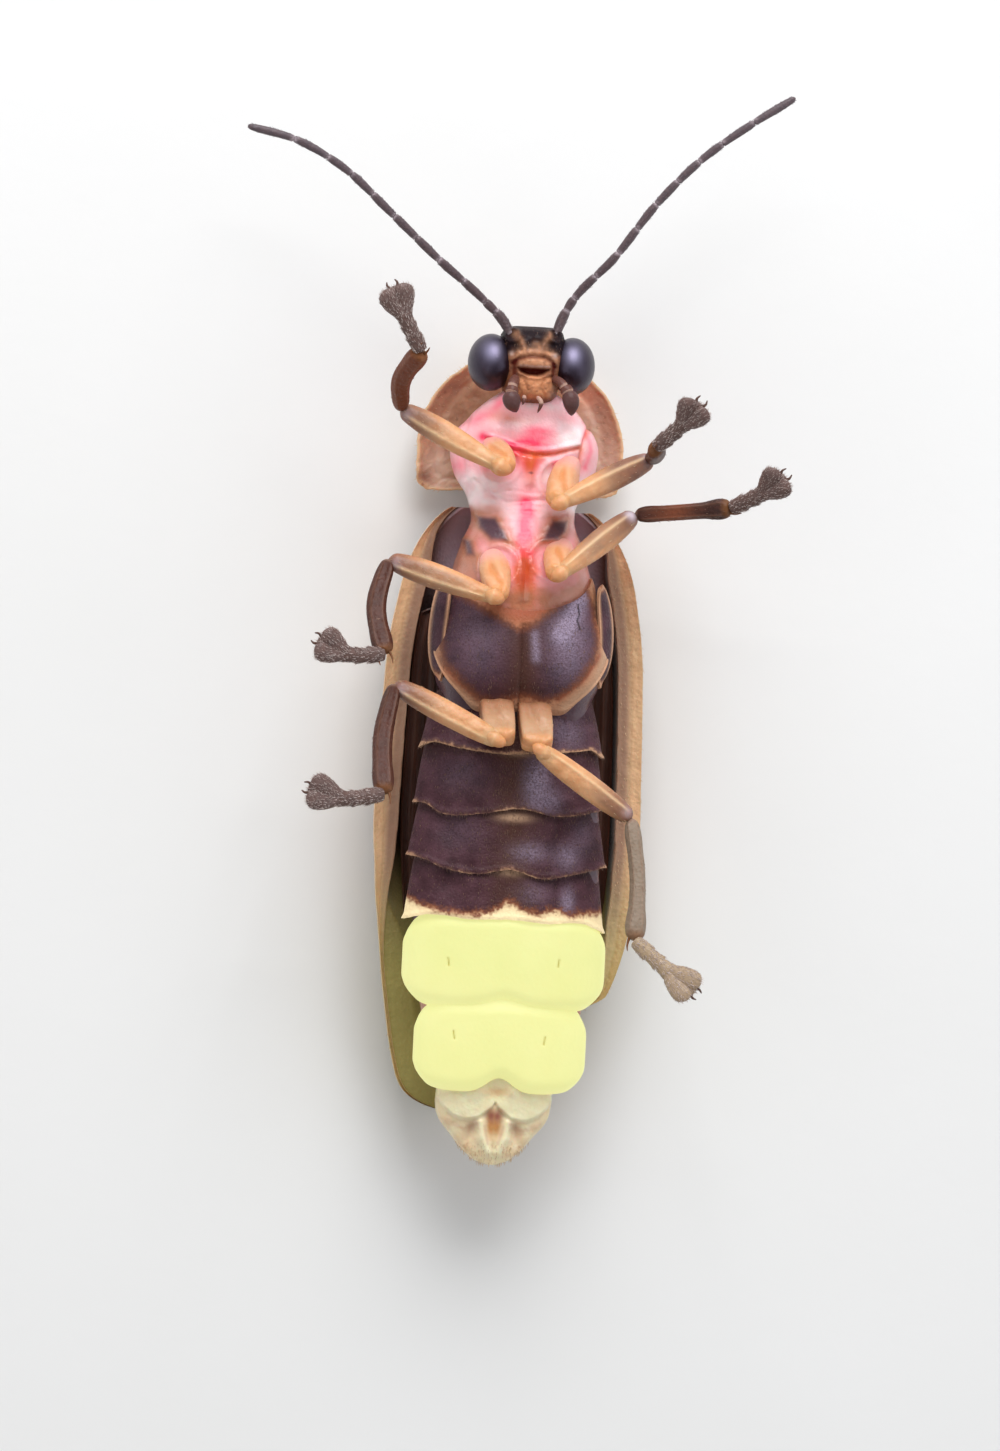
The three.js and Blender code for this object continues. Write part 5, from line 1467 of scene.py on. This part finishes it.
look = Finish("feeler_shell", Coat_Weight=0.1, Sheen_Weight=0.3)
feeler_grain = look.noise(0.05, 4)
horn_tone = look.mix(colour(52, 32, 38), colour(72, 62, 70), look.mark("tip"))
horn_tone = look.mix(horn_tone, colour(100, 74, 74), feeler_grain * 1.2 - 0.3)
horn_tone = look.mix(horn_tone, colour(158, 142, 148),
                     look.mark("ring") * look.noise(0.12).between(0.36, 0.62) * 0.9)
look.use(Base_Color=horn_tone, Roughness=feeler_grain * 0.3 + 0.4)
look.relief(look.cells(0.05) * 0.5 + feeler_grain * 0.5, 0.012)
feeler_pieces = []
for name, (side, path) in FEELERS.items():
    nodes = [f"antenna_{name}_{part}" for part in ("base", "middle", "tip")]
    feeler_pieces.append(hand_over(feeler(f"feeler_{name}", side, path), look, "feeler", *nodes))

# %% [markdown]
# ## The legs
#
# Six legs of one pattern: a stout hip, a flat thigh, a slimmer shank with two short spurs, and a
# foot of five joints, the fourth split in two lobes, with a pair of claws. The real ones differ in
# length and in how they are held, and the table below says how. Angles turn out from the body and
# rise from the floor. The hind hips are squarer and flatter than the others.

# %% Leg table
# lengths of thigh, shank and foot
PAIRS = {"fore": (2.05, 1.7, 1.3), "mid": (1.98, 1.82, 1.33), "hind": (2.04, 2.17, 1.5)}
# side, socket in the body and hip,
# thigh turn and rise, shank turn, rise and bow, foot turn, rise and curl
LEGS = {
    "right_fore": (-1, (0.62, -0.28, 1.88), (0.49, -0.72, 3.0),
                   (28, -11), (100, 56, 0.16), (60, 12, 5)),
    "left_fore": (1, (0.72, -0.5, 1.88), (0.41, -1.28, 2.98),
                  (27.5, -21.5), (135, 83, 0.05), (46, 36, 10)),
    "right_mid": (-1, (0.56, -2.14, 2.2), (0.52, -2.92, 3.26),
                  (17, -9), (-87.5, 28, 0.16), (-3, 15, 27)),
    "left_mid": (1, (0.6, -1.98, 2.2), (0.44, -2.5, 3.24),
                 (39, -25), (6.5, 33, 0.04), (30, 39, 14)),
    "right_hind": (-1, (0.4, -4.5, 2.14), (0.38, -5.34, 3.26),
                   (26, -8.5), (-84, 31, 0.08), (-8.5, 18, 23)),
    "left_hind": (1, (0.25, -4.5, 2.14), (0.27, -5.42, 3.2),
                  (-33.5, -7.5), (-88, 19, 0.06), (-41, 24, 3)),
}
# share along the hip, width and depth
HIPS = {
    "fore": [(0, 0.4, 0.44), (0.35, 0.5, 0.44), (0.65, 0.52, 0.4), (0.9, 0.42, 0.36), (1, 0.34, 0.32)],
    "mid": [(0, 0.46, 0.46), (0.4, 0.54, 0.44), (0.75, 0.46, 0.38), (1, 0.32, 0.32)],
    "hind": [(0, 0.58, 0.46), (0.4, 0.57, 0.44), (0.8, 0.55, 0.4), (1, 0.5, 0.34)],
}
# share along the thigh, width and depth
THIGHS = {
    "other": [(0, 0.2, 0.2), (0.15, 0.29, 0.25), (0.42, 0.4074, 0.3), (0.65, 0.4365, 0.3),
              (0.88, 0.36, 0.28), (1, 0.26, 0.24)],
    "hind": [(0, 0.26, 0.22), (0.15, 0.35, 0.26), (0.42, 0.41, 0.3), (0.65, 0.41, 0.3),
             (0.88, 0.34, 0.28), (1, 0.25, 0.24)],
}


def heading(turn, rise, side):
    a, b = math.radians(turn), math.radians(rise)
    return np.array([math.cos(b) * math.cos(a) * side, math.cos(b) * math.sin(a), math.sin(b)])


def limb_line(start, length, turn, rise, side, bow=0.0, curl=0.0):
    """A line from start. It bows outwards in the middle, or its second half turns by curl."""
    start = np.array(start, float)
    ahead = heading(turn, rise, side)
    middle, end = start + ahead * length / 2, start + ahead * length
    if bow:
        outwards = np.array([side, 0.0, 0.0]) - ahead * ahead[0] * side
        middle = middle + outwards / np.linalg.norm(outwards) * bow * length * 0.6
    if curl:
        end = middle + heading(turn + curl, rise, side) * length / 2
    return bent_line([start, middle, end], 60)


# %% Leg pieces
def hip_and_thigh(leg):
    side, socket, hip, (turn, rise), _, _ = LEGS[leg]
    pair = leg.split("_")[1]
    socket, hip = np.array(mirrored([socket, hip], side))
    clay = Clay()
    hip_line = bent_line([socket, blend(socket, hip, 0.5) + np.array([0, 0, 0.06]), hip], 56)
    hip_rings, share, ahead = limb_rings(hip_line, HIPS[pair], 56, (0.1, 0.1))
    spin = np.arange(56) / 56 * 2 * np.pi
    if pair == "hind":
        square = (np.abs(np.cos(spin)) ** 5 + np.abs(np.sin(spin)) ** 5) ** -0.2
        middle = hip_rings.mean(1, keepdims=True)
        hip_rings = middle + (hip_rings - middle) * square[None, :, None]
        hip_rings[..., 2] = np.minimum(hip_rings[..., 2], hip_rings[..., 2].mean(1, keepdims=True) + 0.1)
    x, y = hip_rings[..., 0], hip_rings[..., 1]
    share = share[:, None]
    form = bumps(spin, share, [], [
        (-0.05, 0.12, [(1.2, 0.55), (2.0, 0.9)]), (0.03, 0.05, [(0.8, 0.93), (2.4, 0.88)]),
    ]) + 0.03 * mottle(spin * 1.3, 4 * share, 0.8, 5) + 0.01 * mottle(x, y, 0.07, 4)
    hip_rings[..., 2] += form * np.sin(share * np.pi) ** 0.5
    grid = np.ones(x.shape)
    clay.shell(hip_rings, {
        "hip": grid, "buff": grid * (pair == "hind"), "fur": grid * 0.3,
        "pink": grid * ease((0.5 - share) / 0.3) * (pair != "hind"),
        "root": grid * ease((0.78 - share) / 0.4) * (pair == "hind"),
        "knob": grid * ease((share - 0.84) / 0.1), "fold": np.clip(np.abs(form) * 18, 0, 1),
        "lie": grid[..., None] * ahead[:, None],
    })
    thigh = limb_line(hip, PAIRS[pair][0], turn, rise, side)
    trochanter = [thigh[0] - (thigh[3] - thigh[0]), thigh[0] + np.array([0, 0, 0.03]), thigh[10]]
    knob = 0.74 if pair == "hind" else 0.82
    knob_widths = [(0, 0.2, 0.2), (0.34, 0.32 * knob, 0.32 * knob), (0.46, 0.35 * knob, 0.35 * knob),
                   (0.58, 0.24, 0.24), (1, 0.22, 0.2)]
    # The ridge mark makes a pale ring round this knob: a painted highlight.
    knob_marks = {"hip": 0.5, "fold": 0.6, "fur": 0.3,
                  "ridge": lambda s: 0.45 * np.exp(-(((s - 0.47) / 0.07) ** 2))}
    add_limb(clay, bent_line(trochanter, 24), knob_widths, knob_marks, ends=(0.3, 0.3), around=24)
    rings, share, ahead = limb_rings(thigh, THIGHS["hind" if pair == "hind" else "other"], 48,
                                     (0.05, 0.06))
    spin = (np.arange(48) / 48 * 2 * np.pi)[None, :]
    share = share[:, None]
    ridge = np.exp(-(((spin - 2.0) / 0.16) ** 2)) * ease((share - 0.08) / 0.1)
    ridge = ridge * ease((0.96 - share) / 0.1)
    rings[..., 2] += 0.02 * ridge + 0.012 * mottle(share * 9, spin * 0.5, 0.6, 3)
    rings[..., 2] += 0.006 * mottle(rings[..., 0], rings[..., 1], 0.08, 3)
    grid = np.ones(rings.shape[:2])
    shade = ease((np.sin(spin - 0.9) + 0.2) / 0.5)
    browner_from = 0.3 if leg == "left_fore" else 0.55
    shaded_from = 0.1 if pair == "mid" else 0.4
    # The knee mark is a painted highlight: a pale lavender patch at the end of the thigh.
    knee_highlight_strength = 1.0 if leg == "left_mid" else 0.3
    clay.shell(rings, {
        "end": grid * ease((share - browner_from) / 0.45), "fur": grid * 0.7, "ridge": ridge * grid,
        "upper": grid * shade * ease((share - shaded_from) / 0.4),
        "knee": knee_highlight_strength * hill(share, spin, (0.93, 1.9), (0.05, 0.7)) * grid,
        "lie": grid[..., None] * ahead[:, None],
    })
    return clay, thigh[-1]


def shank(leg, knee):
    side, _, _, _, (turn, rise, bow), _ = LEGS[leg]
    length = PAIRS[leg.split("_")[1]][1]
    clay = Clay()
    line = limb_line(knee, length, turn, rise, side, bow)
    slim = 0.84 if leg in ("left_mid", "left_hind") else 1.0
    widths = [(0, 0.17, 0.17), (0.07, 0.25, 0.22), (0.3, 0.32 * slim, 0.24), (0.7, 0.34 * slim, 0.25),
              (0.93, 0.34, 0.26), (1, 0.26, 0.22)]
    rings, share, forward = limb_rings(line, widths, 48, (0.05, 0.05))
    spin = (np.arange(48) / 48 * 2 * np.pi)[None, :]
    share = share[:, None]
    keels = sum(np.exp(-(((spin - at) / 0.16) ** 2)) for at in (0.9, 2.2))
    keels = keels * ease(share / 0.12) * ease((0.97 - share) / 0.06)
    rings[..., 2] += 0.03 * keels + 0.006 * mottle(rings[..., 0], rings[..., 1], 0.07, 3)
    grid = np.ones(rings.shape[:2])
    amber = 0.7 if leg == "right_fore" else 0.15
    if leg == "left_mid":
        amber = 0.9 * hill(share, 0, (0.4, 0), (0.22, 1))
    clay.shell(rings, {
        "fur": grid, "pale": grid * (leg == "left_hind"), "ridge": keels * grid, "amber": grid * amber,
        "knee": grid * ease((0.06 - share) / 0.04), "end": grid * ease((share - 0.9) / 0.08),
        "lie": grid[..., None] * forward[:, None],
    })
    ahead = (line[-1] - line[-6]) / np.linalg.norm(line[-1] - line[-6])
    for spur in (-1, 1):
        aside = np.cross(ahead, [0, 0, 1]) * 0.1 * spur
        path = [line[-3] + aside * 0.9, line[-1] + aside * 1.3 + ahead * 0.1,
                line[-1] + aside * 1.2 + ahead * 0.2]
        add_limb(clay, bent_line(path, 12), [(0, 0.06, 0.06), (1, 0.015, 0.015)], {"end": 1.0},
                 ends=(0.1, 0.1), around=10)
    return clay, line[-1]


# joint start and end along the foot, width at start, middle and end
FOOT_JOINTS = [(0.0, 0.26, 0.22, 0.27, 0.27), (0.22, 0.42, 0.23, 0.26, 0.27),
               (0.38, 0.58, 0.23, 0.27, 0.29), (0.62, 0.94, 0.1, 0.13, 0.17)]


def foot(leg, ankle):
    side, _, _, _, _, (turn, rise, curl) = LEGS[leg]
    length = PAIRS[leg.split("_")[1]][2]
    line = limb_line(ankle, length, turn, rise, side, curl=curl)
    places = np.linspace(0, 1, len(line))

    def along(share):
        return np.array([np.interp(share, places, line[:, k]) for k in range(3)])

    clay = Clay()
    pale = 0.8 if leg == "left_hind" else 0.0
    for start, end, narrow, middle, wide in FOOT_JOINTS:
        path = [along(start), along((start + end) / 2), along(end)]
        widths = [(0, narrow, narrow * 0.9), (0.55, middle, middle * 0.7), (0.92, wide, wide * 0.62),
                  (1, wide * 0.85, wide * 0.5)]
        add_limb(clay, bent_line(path, 22), widths,
                 {"pad": 0.6, "fur": 1.0, "pale": pale, "ring": lambda s: ease((0.1 - s) / 0.08)},
                 ends=(0.08, 0.1), around=24)
    ahead = along(0.8) - along(0.6)
    ahead /= np.linalg.norm(ahead)
    aside = np.cross(ahead, [0, 0, 1])
    aside /= np.linalg.norm(aside)
    rise = np.cross(aside, ahead)
    for lobe in (-1, 1):
        path = [along(0.52), along(0.72) + aside * 0.1 * lobe,
                along(0.94) + aside * 0.16 * lobe + rise * 0.05]
        widths = [(0, 0.2, 0.17), (0.4, 0.32, 0.2), (0.8, 0.34, 0.18), (1, 0.24, 0.1)]
        add_limb(clay, bent_line(path, 24), widths, {"pad": 1.0, "fur": 1.0, "pale": pale},
                 ends=(0.1, 0.15), around=24)
    tip = along(0.88)
    for claw in (-1, 1):
        out = aside * claw
        path = [tip, tip + out * 0.06 + ahead * 0.05, tip + out * 0.09 + ahead * 0.11,
                tip + out * 0.07 + ahead * 0.17 - rise * 0.06]
        add_limb(clay, bent_line(path, 18), [(0, 0.065, 0.065), (0.5, 0.05, 0.05), (1, 0.02, 0.02)],
                 {"claw": 1.0}, ends=(0.1, 0.08), around=12)
    return clay


# %% [markdown]
# Thighs are clear orange-cream and turn browner towards the knee. A pale lavender patch at the
# knee and a pale ring round the knob at the thigh's root are painted highlights.
# Shanks are red-brown and grainy, and the feet brown with pale pads of hair.

# %% Leg finishes
thigh_look = Finish("thigh_shell", Coat_Weight=0.12, Coat_Roughness=0.2, Subsurface_Weight=0.18,
                    Subsurface_Scale=0.0003)
thigh_cloud, thigh_grain = thigh_look.noise(0.25, 4), thigh_look.noise(0.05, 4)
thigh_tone = thigh_look.mix(colour(200, 134, 80), colour(230, 180, 134), thigh_cloud * 1.3 - 0.2)
thigh_tone = thigh_look.paint(
    thigh_tone, hip=(222, 168, 126, 0.8), fold=(212, 134, 72, 0.8), pink=(238, 168, 160, 0.85),
    buff=(188, 148, 114, 0.85), root=(160, 98, 64, 0.7),
)
thigh_tone = thigh_look.mix(thigh_tone, colour(122, 88, 72),
                            thigh_look.mark("upper") * (thigh_cloud * 0.6 + 0.3))
thigh_tone = thigh_look.mix(thigh_tone, colour(122, 76, 56), thigh_look.mark("end") * (thigh_cloud + 0.4))
thigh_tone = thigh_look.paint(
    # knee is a painted highlight, a pale lavender patch at the end of the thigh.
    thigh_tone, knob=(222, 150, 86, 0.6), ridge=(240, 206, 160, 0.6), knee=(224, 212, 226, 0.85),
)
thigh_look.use(Base_Color=thigh_tone, Roughness=thigh_grain * 0.35 + 0.34)
thigh_look.relief(thigh_look.cells(0.08) * 0.5 + thigh_grain * 0.5, 0.014)

shank_look = Finish("shank_shell", Coat_Weight=0.08, Coat_Roughness=0.3, Specular_IOR_Level=0.25,
                    Subsurface_Weight=0.05, Subsurface_Scale=0.0002)
shank_cloud, shank_grain = shank_look.noise(0.2, 4), shank_look.noise(0.05, 4)
shank_tone = shank_look.mix(colour(42, 18, 13), colour(76, 40, 31), shank_cloud * 1.4 - 0.25)
shank_tone = shank_look.paint(
    shank_tone, amber=(140, 74, 44, 0.8), pale=(136, 118, 100, 1), ridge=(150, 112, 90, 0.2),
    end=(132, 84, 44, 0.6), knee=(150, 120, 104, 0.7),
)
shank_tone = shank_look.mix(shank_tone, colour(170, 140, 120), shank_grain.between(0.64, 0.76) * 0.35)
shank_look.use(Base_Color=shank_tone, Roughness=shank_grain * 0.35 + 0.35)
shank_look.relief(shank_look.cells(0.07) * 0.6 + shank_grain * 0.4, 0.02)

foot_look = Finish("foot_shell", Coat_Weight=0.1, Sheen_Weight=0.1)
foot_cloud, foot_grain = foot_look.noise(0.12, 4), foot_look.noise(0.04, 4)
foot_tone = foot_look.mix(colour(54, 32, 26), colour(92, 60, 48), foot_cloud * 1.4 - 0.2)
foot_tone = foot_look.paint(foot_tone, pale=(176, 152, 116, 1))
foot_tone = foot_look.mix(foot_tone, colour(160, 134, 130), foot_look.mark("pad") * foot_grain * 0.4)
foot_tone = foot_look.paint(foot_tone, claw=(78, 44, 28, 1))
foot_look.use(Base_Color=foot_tone, Roughness=foot_grain * 0.35 + 0.4)
foot_look.relief(foot_look.cells(0.05) * 0.6 + foot_grain * 0.4, 0.014)

leg_pieces = []
for leg in LEGS:
    thigh_clay, knee = hip_and_thigh(leg)
    shank_clay, ankle = shank(leg, knee)
    foot_clay = foot(leg, ankle)
    node = "leg_" + leg
    leg_pieces.append(hand_over(thigh_clay.make(f"thigh_{leg}"), thigh_look, "thigh", node + "_femur"))
    leg_pieces.append(hand_over(shank_clay.make(f"shank_{leg}"), shank_look, "shank", node + "_tibia"))
    leg_pieces.append(hand_over(foot_clay.make(f"foot_{leg}"), foot_look, "foot", node + "_tarsus"))

# %% [markdown]
# ## Hairs
#
# A firefly is covered with very short hairs. They make the fuzzy edge of the wing cases and the
# shield, the dull brown down in the middle of the belly plates, and the silvery brushes under the
# feet. Bump alone can't break an outline, so each hair is real: a thin curved cone of three sides.
# A tree of geometry nodes scatters them over a surface by its "fur" mark, turns them from the
# surface's normal towards its "lie", and makes a few long and most short. At the end the hairs are
# made real, keep a patch of the skin's own unwrap in their UV map, and become a mesh of their own.

# %% The tree that grows hairs
SHORTEST_HAIR, LONGEST_HAIR = 0.5, 1.25  # of the length asked for
HAIR_PATCH = 0.003  # side of one hair's patch of the unwrap


def hair_tree():
    tree = bpy.data.node_groups.new("grow_hairs", "GeometryNodeTree")
    tree.interface.new_socket("Geometry", in_out="OUTPUT", socket_type="NodeSocketGeometry")
    kinds = dict(Skin="Geometry", Density="Float", Length="Float", Width="Float", Lean="Float",
                 Seed="Int", Finish="Material")
    sockets = {}
    for name, kind in kinds.items():
        socket = tree.interface.new_socket(name, in_out="INPUT", socket_type="NodeSocket" + kind)
        sockets[name] = socket.identifier
    given = tree.nodes.new("NodeGroupInput").outputs

    def geometry(kind, inputs, **settings):
        return add_node(tree, "GeometryNode" + kind, settings, inputs)

    def maths(operation, a, b):
        return add_node(tree, "ShaderNodeMath", {"operation": operation}, {0: a, 1: b}).outputs[0]

    def vector(operation, a, key=1, b=(0, 0, 0)):
        return add_node(tree, "ShaderNodeVectorMath", {"operation": operation}, {0: a, key: b}).outputs[0]

    def three(x, y=0.0, z=0.0):
        return add_node(tree, "ShaderNodeCombineXYZ", None, {0: x, 1: y, 2: z}).outputs[0]

    def named(name, kind="FLOAT_VECTOR"):
        return geometry("InputNamedAttribute", {"Name": name}, data_type=kind).outputs["Attribute"]

    def store(mesh, name, value, kind, domain):
        inputs = {"Geometry": mesh, "Name": name, "Value": value}
        return geometry("StoreNamedAttribute", inputs, data_type=kind, domain=domain).outputs[0]

    # One hair is a cone of unit length, bent forwards along its own x.
    sizes = {"Vertices": 3, "Side Segments": 3, "Radius Top": 0.06, "Radius Bottom": 0.5, "Depth": 1.0}
    cone = geometry("MeshCone", sizes, fill_type="NONE").outputs
    place = geometry("InputPosition", None).outputs[0]
    height = add_node(tree, "ShaderNodeSeparateXYZ", None, {0: place}).outputs[2]
    bend = three(maths("MULTIPLY", maths("MULTIPLY", height, height), 0.35))
    slim = vector("MULTIPLY", place, 1, three(given["Width"], given["Width"], 1.0))
    inputs = {"Geometry": cone["Mesh"], "Position": vector("ADD", slim, 1, bend)}
    hair = geometry("SetPosition", inputs).outputs[0]
    hair = store(hair, "hair_uv", cone["UV Map"], "FLOAT2", "CORNER")

    # Roots lie as close as the fur mark asks for, and lean from the normal towards the lie.
    density = maths("MULTIPLY", given["Density"], named("fur", "FLOAT"))
    inputs = {"Mesh": given["Skin"], "Density": density, "Seed": given["Seed"]}
    roots = geometry("DistributePointsOnFaces", inputs, distribute_method="RANDOM").outputs
    lie = vector("NORMALIZE", named("lie"))
    inputs = {0: (-0.3, -0.3, -0.3), 1: (0.3, 0.3, 0.3), 8: 11}
    stray = add_node(tree, "FunctionNodeRandomValue", {"data_type": "FLOAT_VECTOR"}, inputs).outputs[0]
    lean = vector("SCALE", vector("ADD", lie, 1, stray), "Scale", given["Lean"])
    ahead = vector("ADD", roots["Normal"], 1, lean)
    align = "FunctionNodeAlignRotationToVector"
    turn = add_node(tree, align, {"axis": "Z"}, {"Vector": ahead}).outputs[0]
    inputs = {"Rotation": turn, "Vector": lie}
    turn = add_node(tree, align, {"axis": "X", "pivot_axis": "Z"}, inputs).outputs[0]
    inputs = {2: SHORTEST_HAIR, 3: LONGEST_HAIR, 8: 5}
    vary = add_node(tree, "FunctionNodeRandomValue", {"data_type": "FLOAT"}, inputs).outputs[1]
    inputs = {"Points": roots["Points"], "Instance": hair, "Rotation": turn,
              "Scale": maths("MULTIPLY", given["Length"], vary)}
    hairs = geometry("InstanceOnPoints", inputs).outputs[0]
    hairs = store(hairs, "root_uv", named("skin_uv"), "FLOAT_VECTOR", "INSTANCE")
    hairs = geometry("RealizeInstances", {"Geometry": hairs}).outputs[0]
    small_uv = vector("SCALE", named("hair_uv"), "Scale", HAIR_PATCH)
    patch_uv = vector("ADD", named("root_uv"), 1, small_uv)
    hairs = store(hairs, "OFBake", patch_uv, "FLOAT2", "CORNER")
    hairs = geometry("SetMaterial", {"Geometry": hairs, "Material": given["Finish"]}).outputs[0]
    tree.links.new(hairs, tree.nodes.new("NodeGroupOutput").inputs[0])
    return tree, sockets


grow_hairs, hair_sockets = hair_tree()


def hair_finish(name, dark, light):
    finish = Finish(name)
    tone = finish.mix(dark, light, finish.noise(0.08, 2))
    finish.use(Base_Color=tone, Roughness=finish.noise(0.3) * 0.3 + 0.3)
    return finish


def grow(name, skins, finish, slot, density, length, width, lean, seed):
    """Hairs on the pieces of one kind. Sizes are in mm, the density is hairs a square mm."""
    grown = []
    for skin in skins:
        modifier = skin.modifiers.new("hairs", "NODES")
        modifier.node_group = grow_hairs
        wanted = dict(Density=density / MM**2, Length=length * MM, Width=width / length, Lean=lean)
        wanted.update(Seed=seed + len(grown), Finish=finish.material)
        for socket, value in wanted.items():
            modifier[hair_sockets[socket]] = value
        evaluated = skin.evaluated_get(bpy.context.evaluated_depsgraph_get())
        mesh = bpy.data.meshes.new_from_object(evaluated)
        skin.modifiers.remove(modifier)
        if not mesh.polygons:
            continue
        mesh.shade_smooth()
        coat = bpy.data.objects.new(f"{name}_{skin.name}", mesh)
        bpy.context.collection.objects.link(coat)
        hand_over(coat, finish, slot)
        grown.append(coat)
    return grown

# %% [markdown]
# Each kind of surface gets its own coat. The numbers are hairs a square millimetre, and the length,
# width and lean of one hair: on the feet they are dense, short and partly silvery, on the shells
# they lie flat, and at the edges of the wing cases and the shield they make a fine fringe.

# %% Coats
silver = hair_finish("silver_hairs", colour(122, 90, 78), colour(242, 228, 222))
brown = hair_finish("brown_hairs", colour(84, 56, 44), colour(140, 106, 84))
tan_hair = hair_finish("tan_hairs", colour(196, 158, 112), colour(236, 212, 176))
grey = hair_finish("grey_hairs", colour(62, 48, 54), colour(136, 124, 132))


def pieces(start):
    return [piece for piece in leg_pieces if piece.name.startswith(start)]


# name, pieces, finish, slot, hairs a square mm, length, width, lean
COATS = [
    ("brush", pieces("foot"), silver, "foot", 620, 0.05, 0.013, 1.5),
    ("hair", pieces("shank"), brown, "shank", 40, 0.05, 0.01, 2.2),
    ("hair", pieces("thigh"), tan_hair, "thigh", 50, 0.05, 0.008, 2.4),
    ("down", feeler_pieces, grey, "feeler", 300, 0.04, 0.009, 1.8),
    ("down", belly_pieces, brown, "belly_plate", 520, 0.045, 0.009, 2.0),
    ("down", [breast_plate], brown, "belly_plate", 260, 0.045, 0.009, 2.0),
    ("fringe", list(cases.values()), tan_hair, "wing_case", 110, 0.05, 0.01, 1.0),
    ("fringe", [shield], tan_hair, "shield", 80, 0.05, 0.01, 0.8),
    ("fringe", [tail], tan_hair, "tail", 300, 0.06, 0.014, 2.4),
    ("down", [head_piece], brown, "head", 90, 0.045, 0.009, 1.6),
]
for order, (name, skins, finish, slot, density, length, width, lean) in enumerate(COATS):
    grown = grow(name, skins, finish, slot, density, length, width, lean, order * 20)
    print(name, slot, sum(made[coat.name] for coat in grown), "triangles")
print("whole model", sum(made.values()), "triangles")

# %% [markdown]
# ## The floor's finish
#
# A plain pale card with a very fine tooth. It only has to catch soft shadows.

# %% Floor finish
look = Finish("pale_card", Roughness=0.85)
card = look.mix(colour(232, 232, 230), colour(236, 236, 235), look.noise(6, 2))
look.use(Base_Color=card)
look.relief(look.noise(0.4, 2), 0.004)
floor.data.materials.append(look.material)

# %% [markdown]
# ## Counts
#
# The number of pieces and of their triangles is printed.

# %% Counts
print(len(made), "pieces,", sum(made.values()), "triangles")
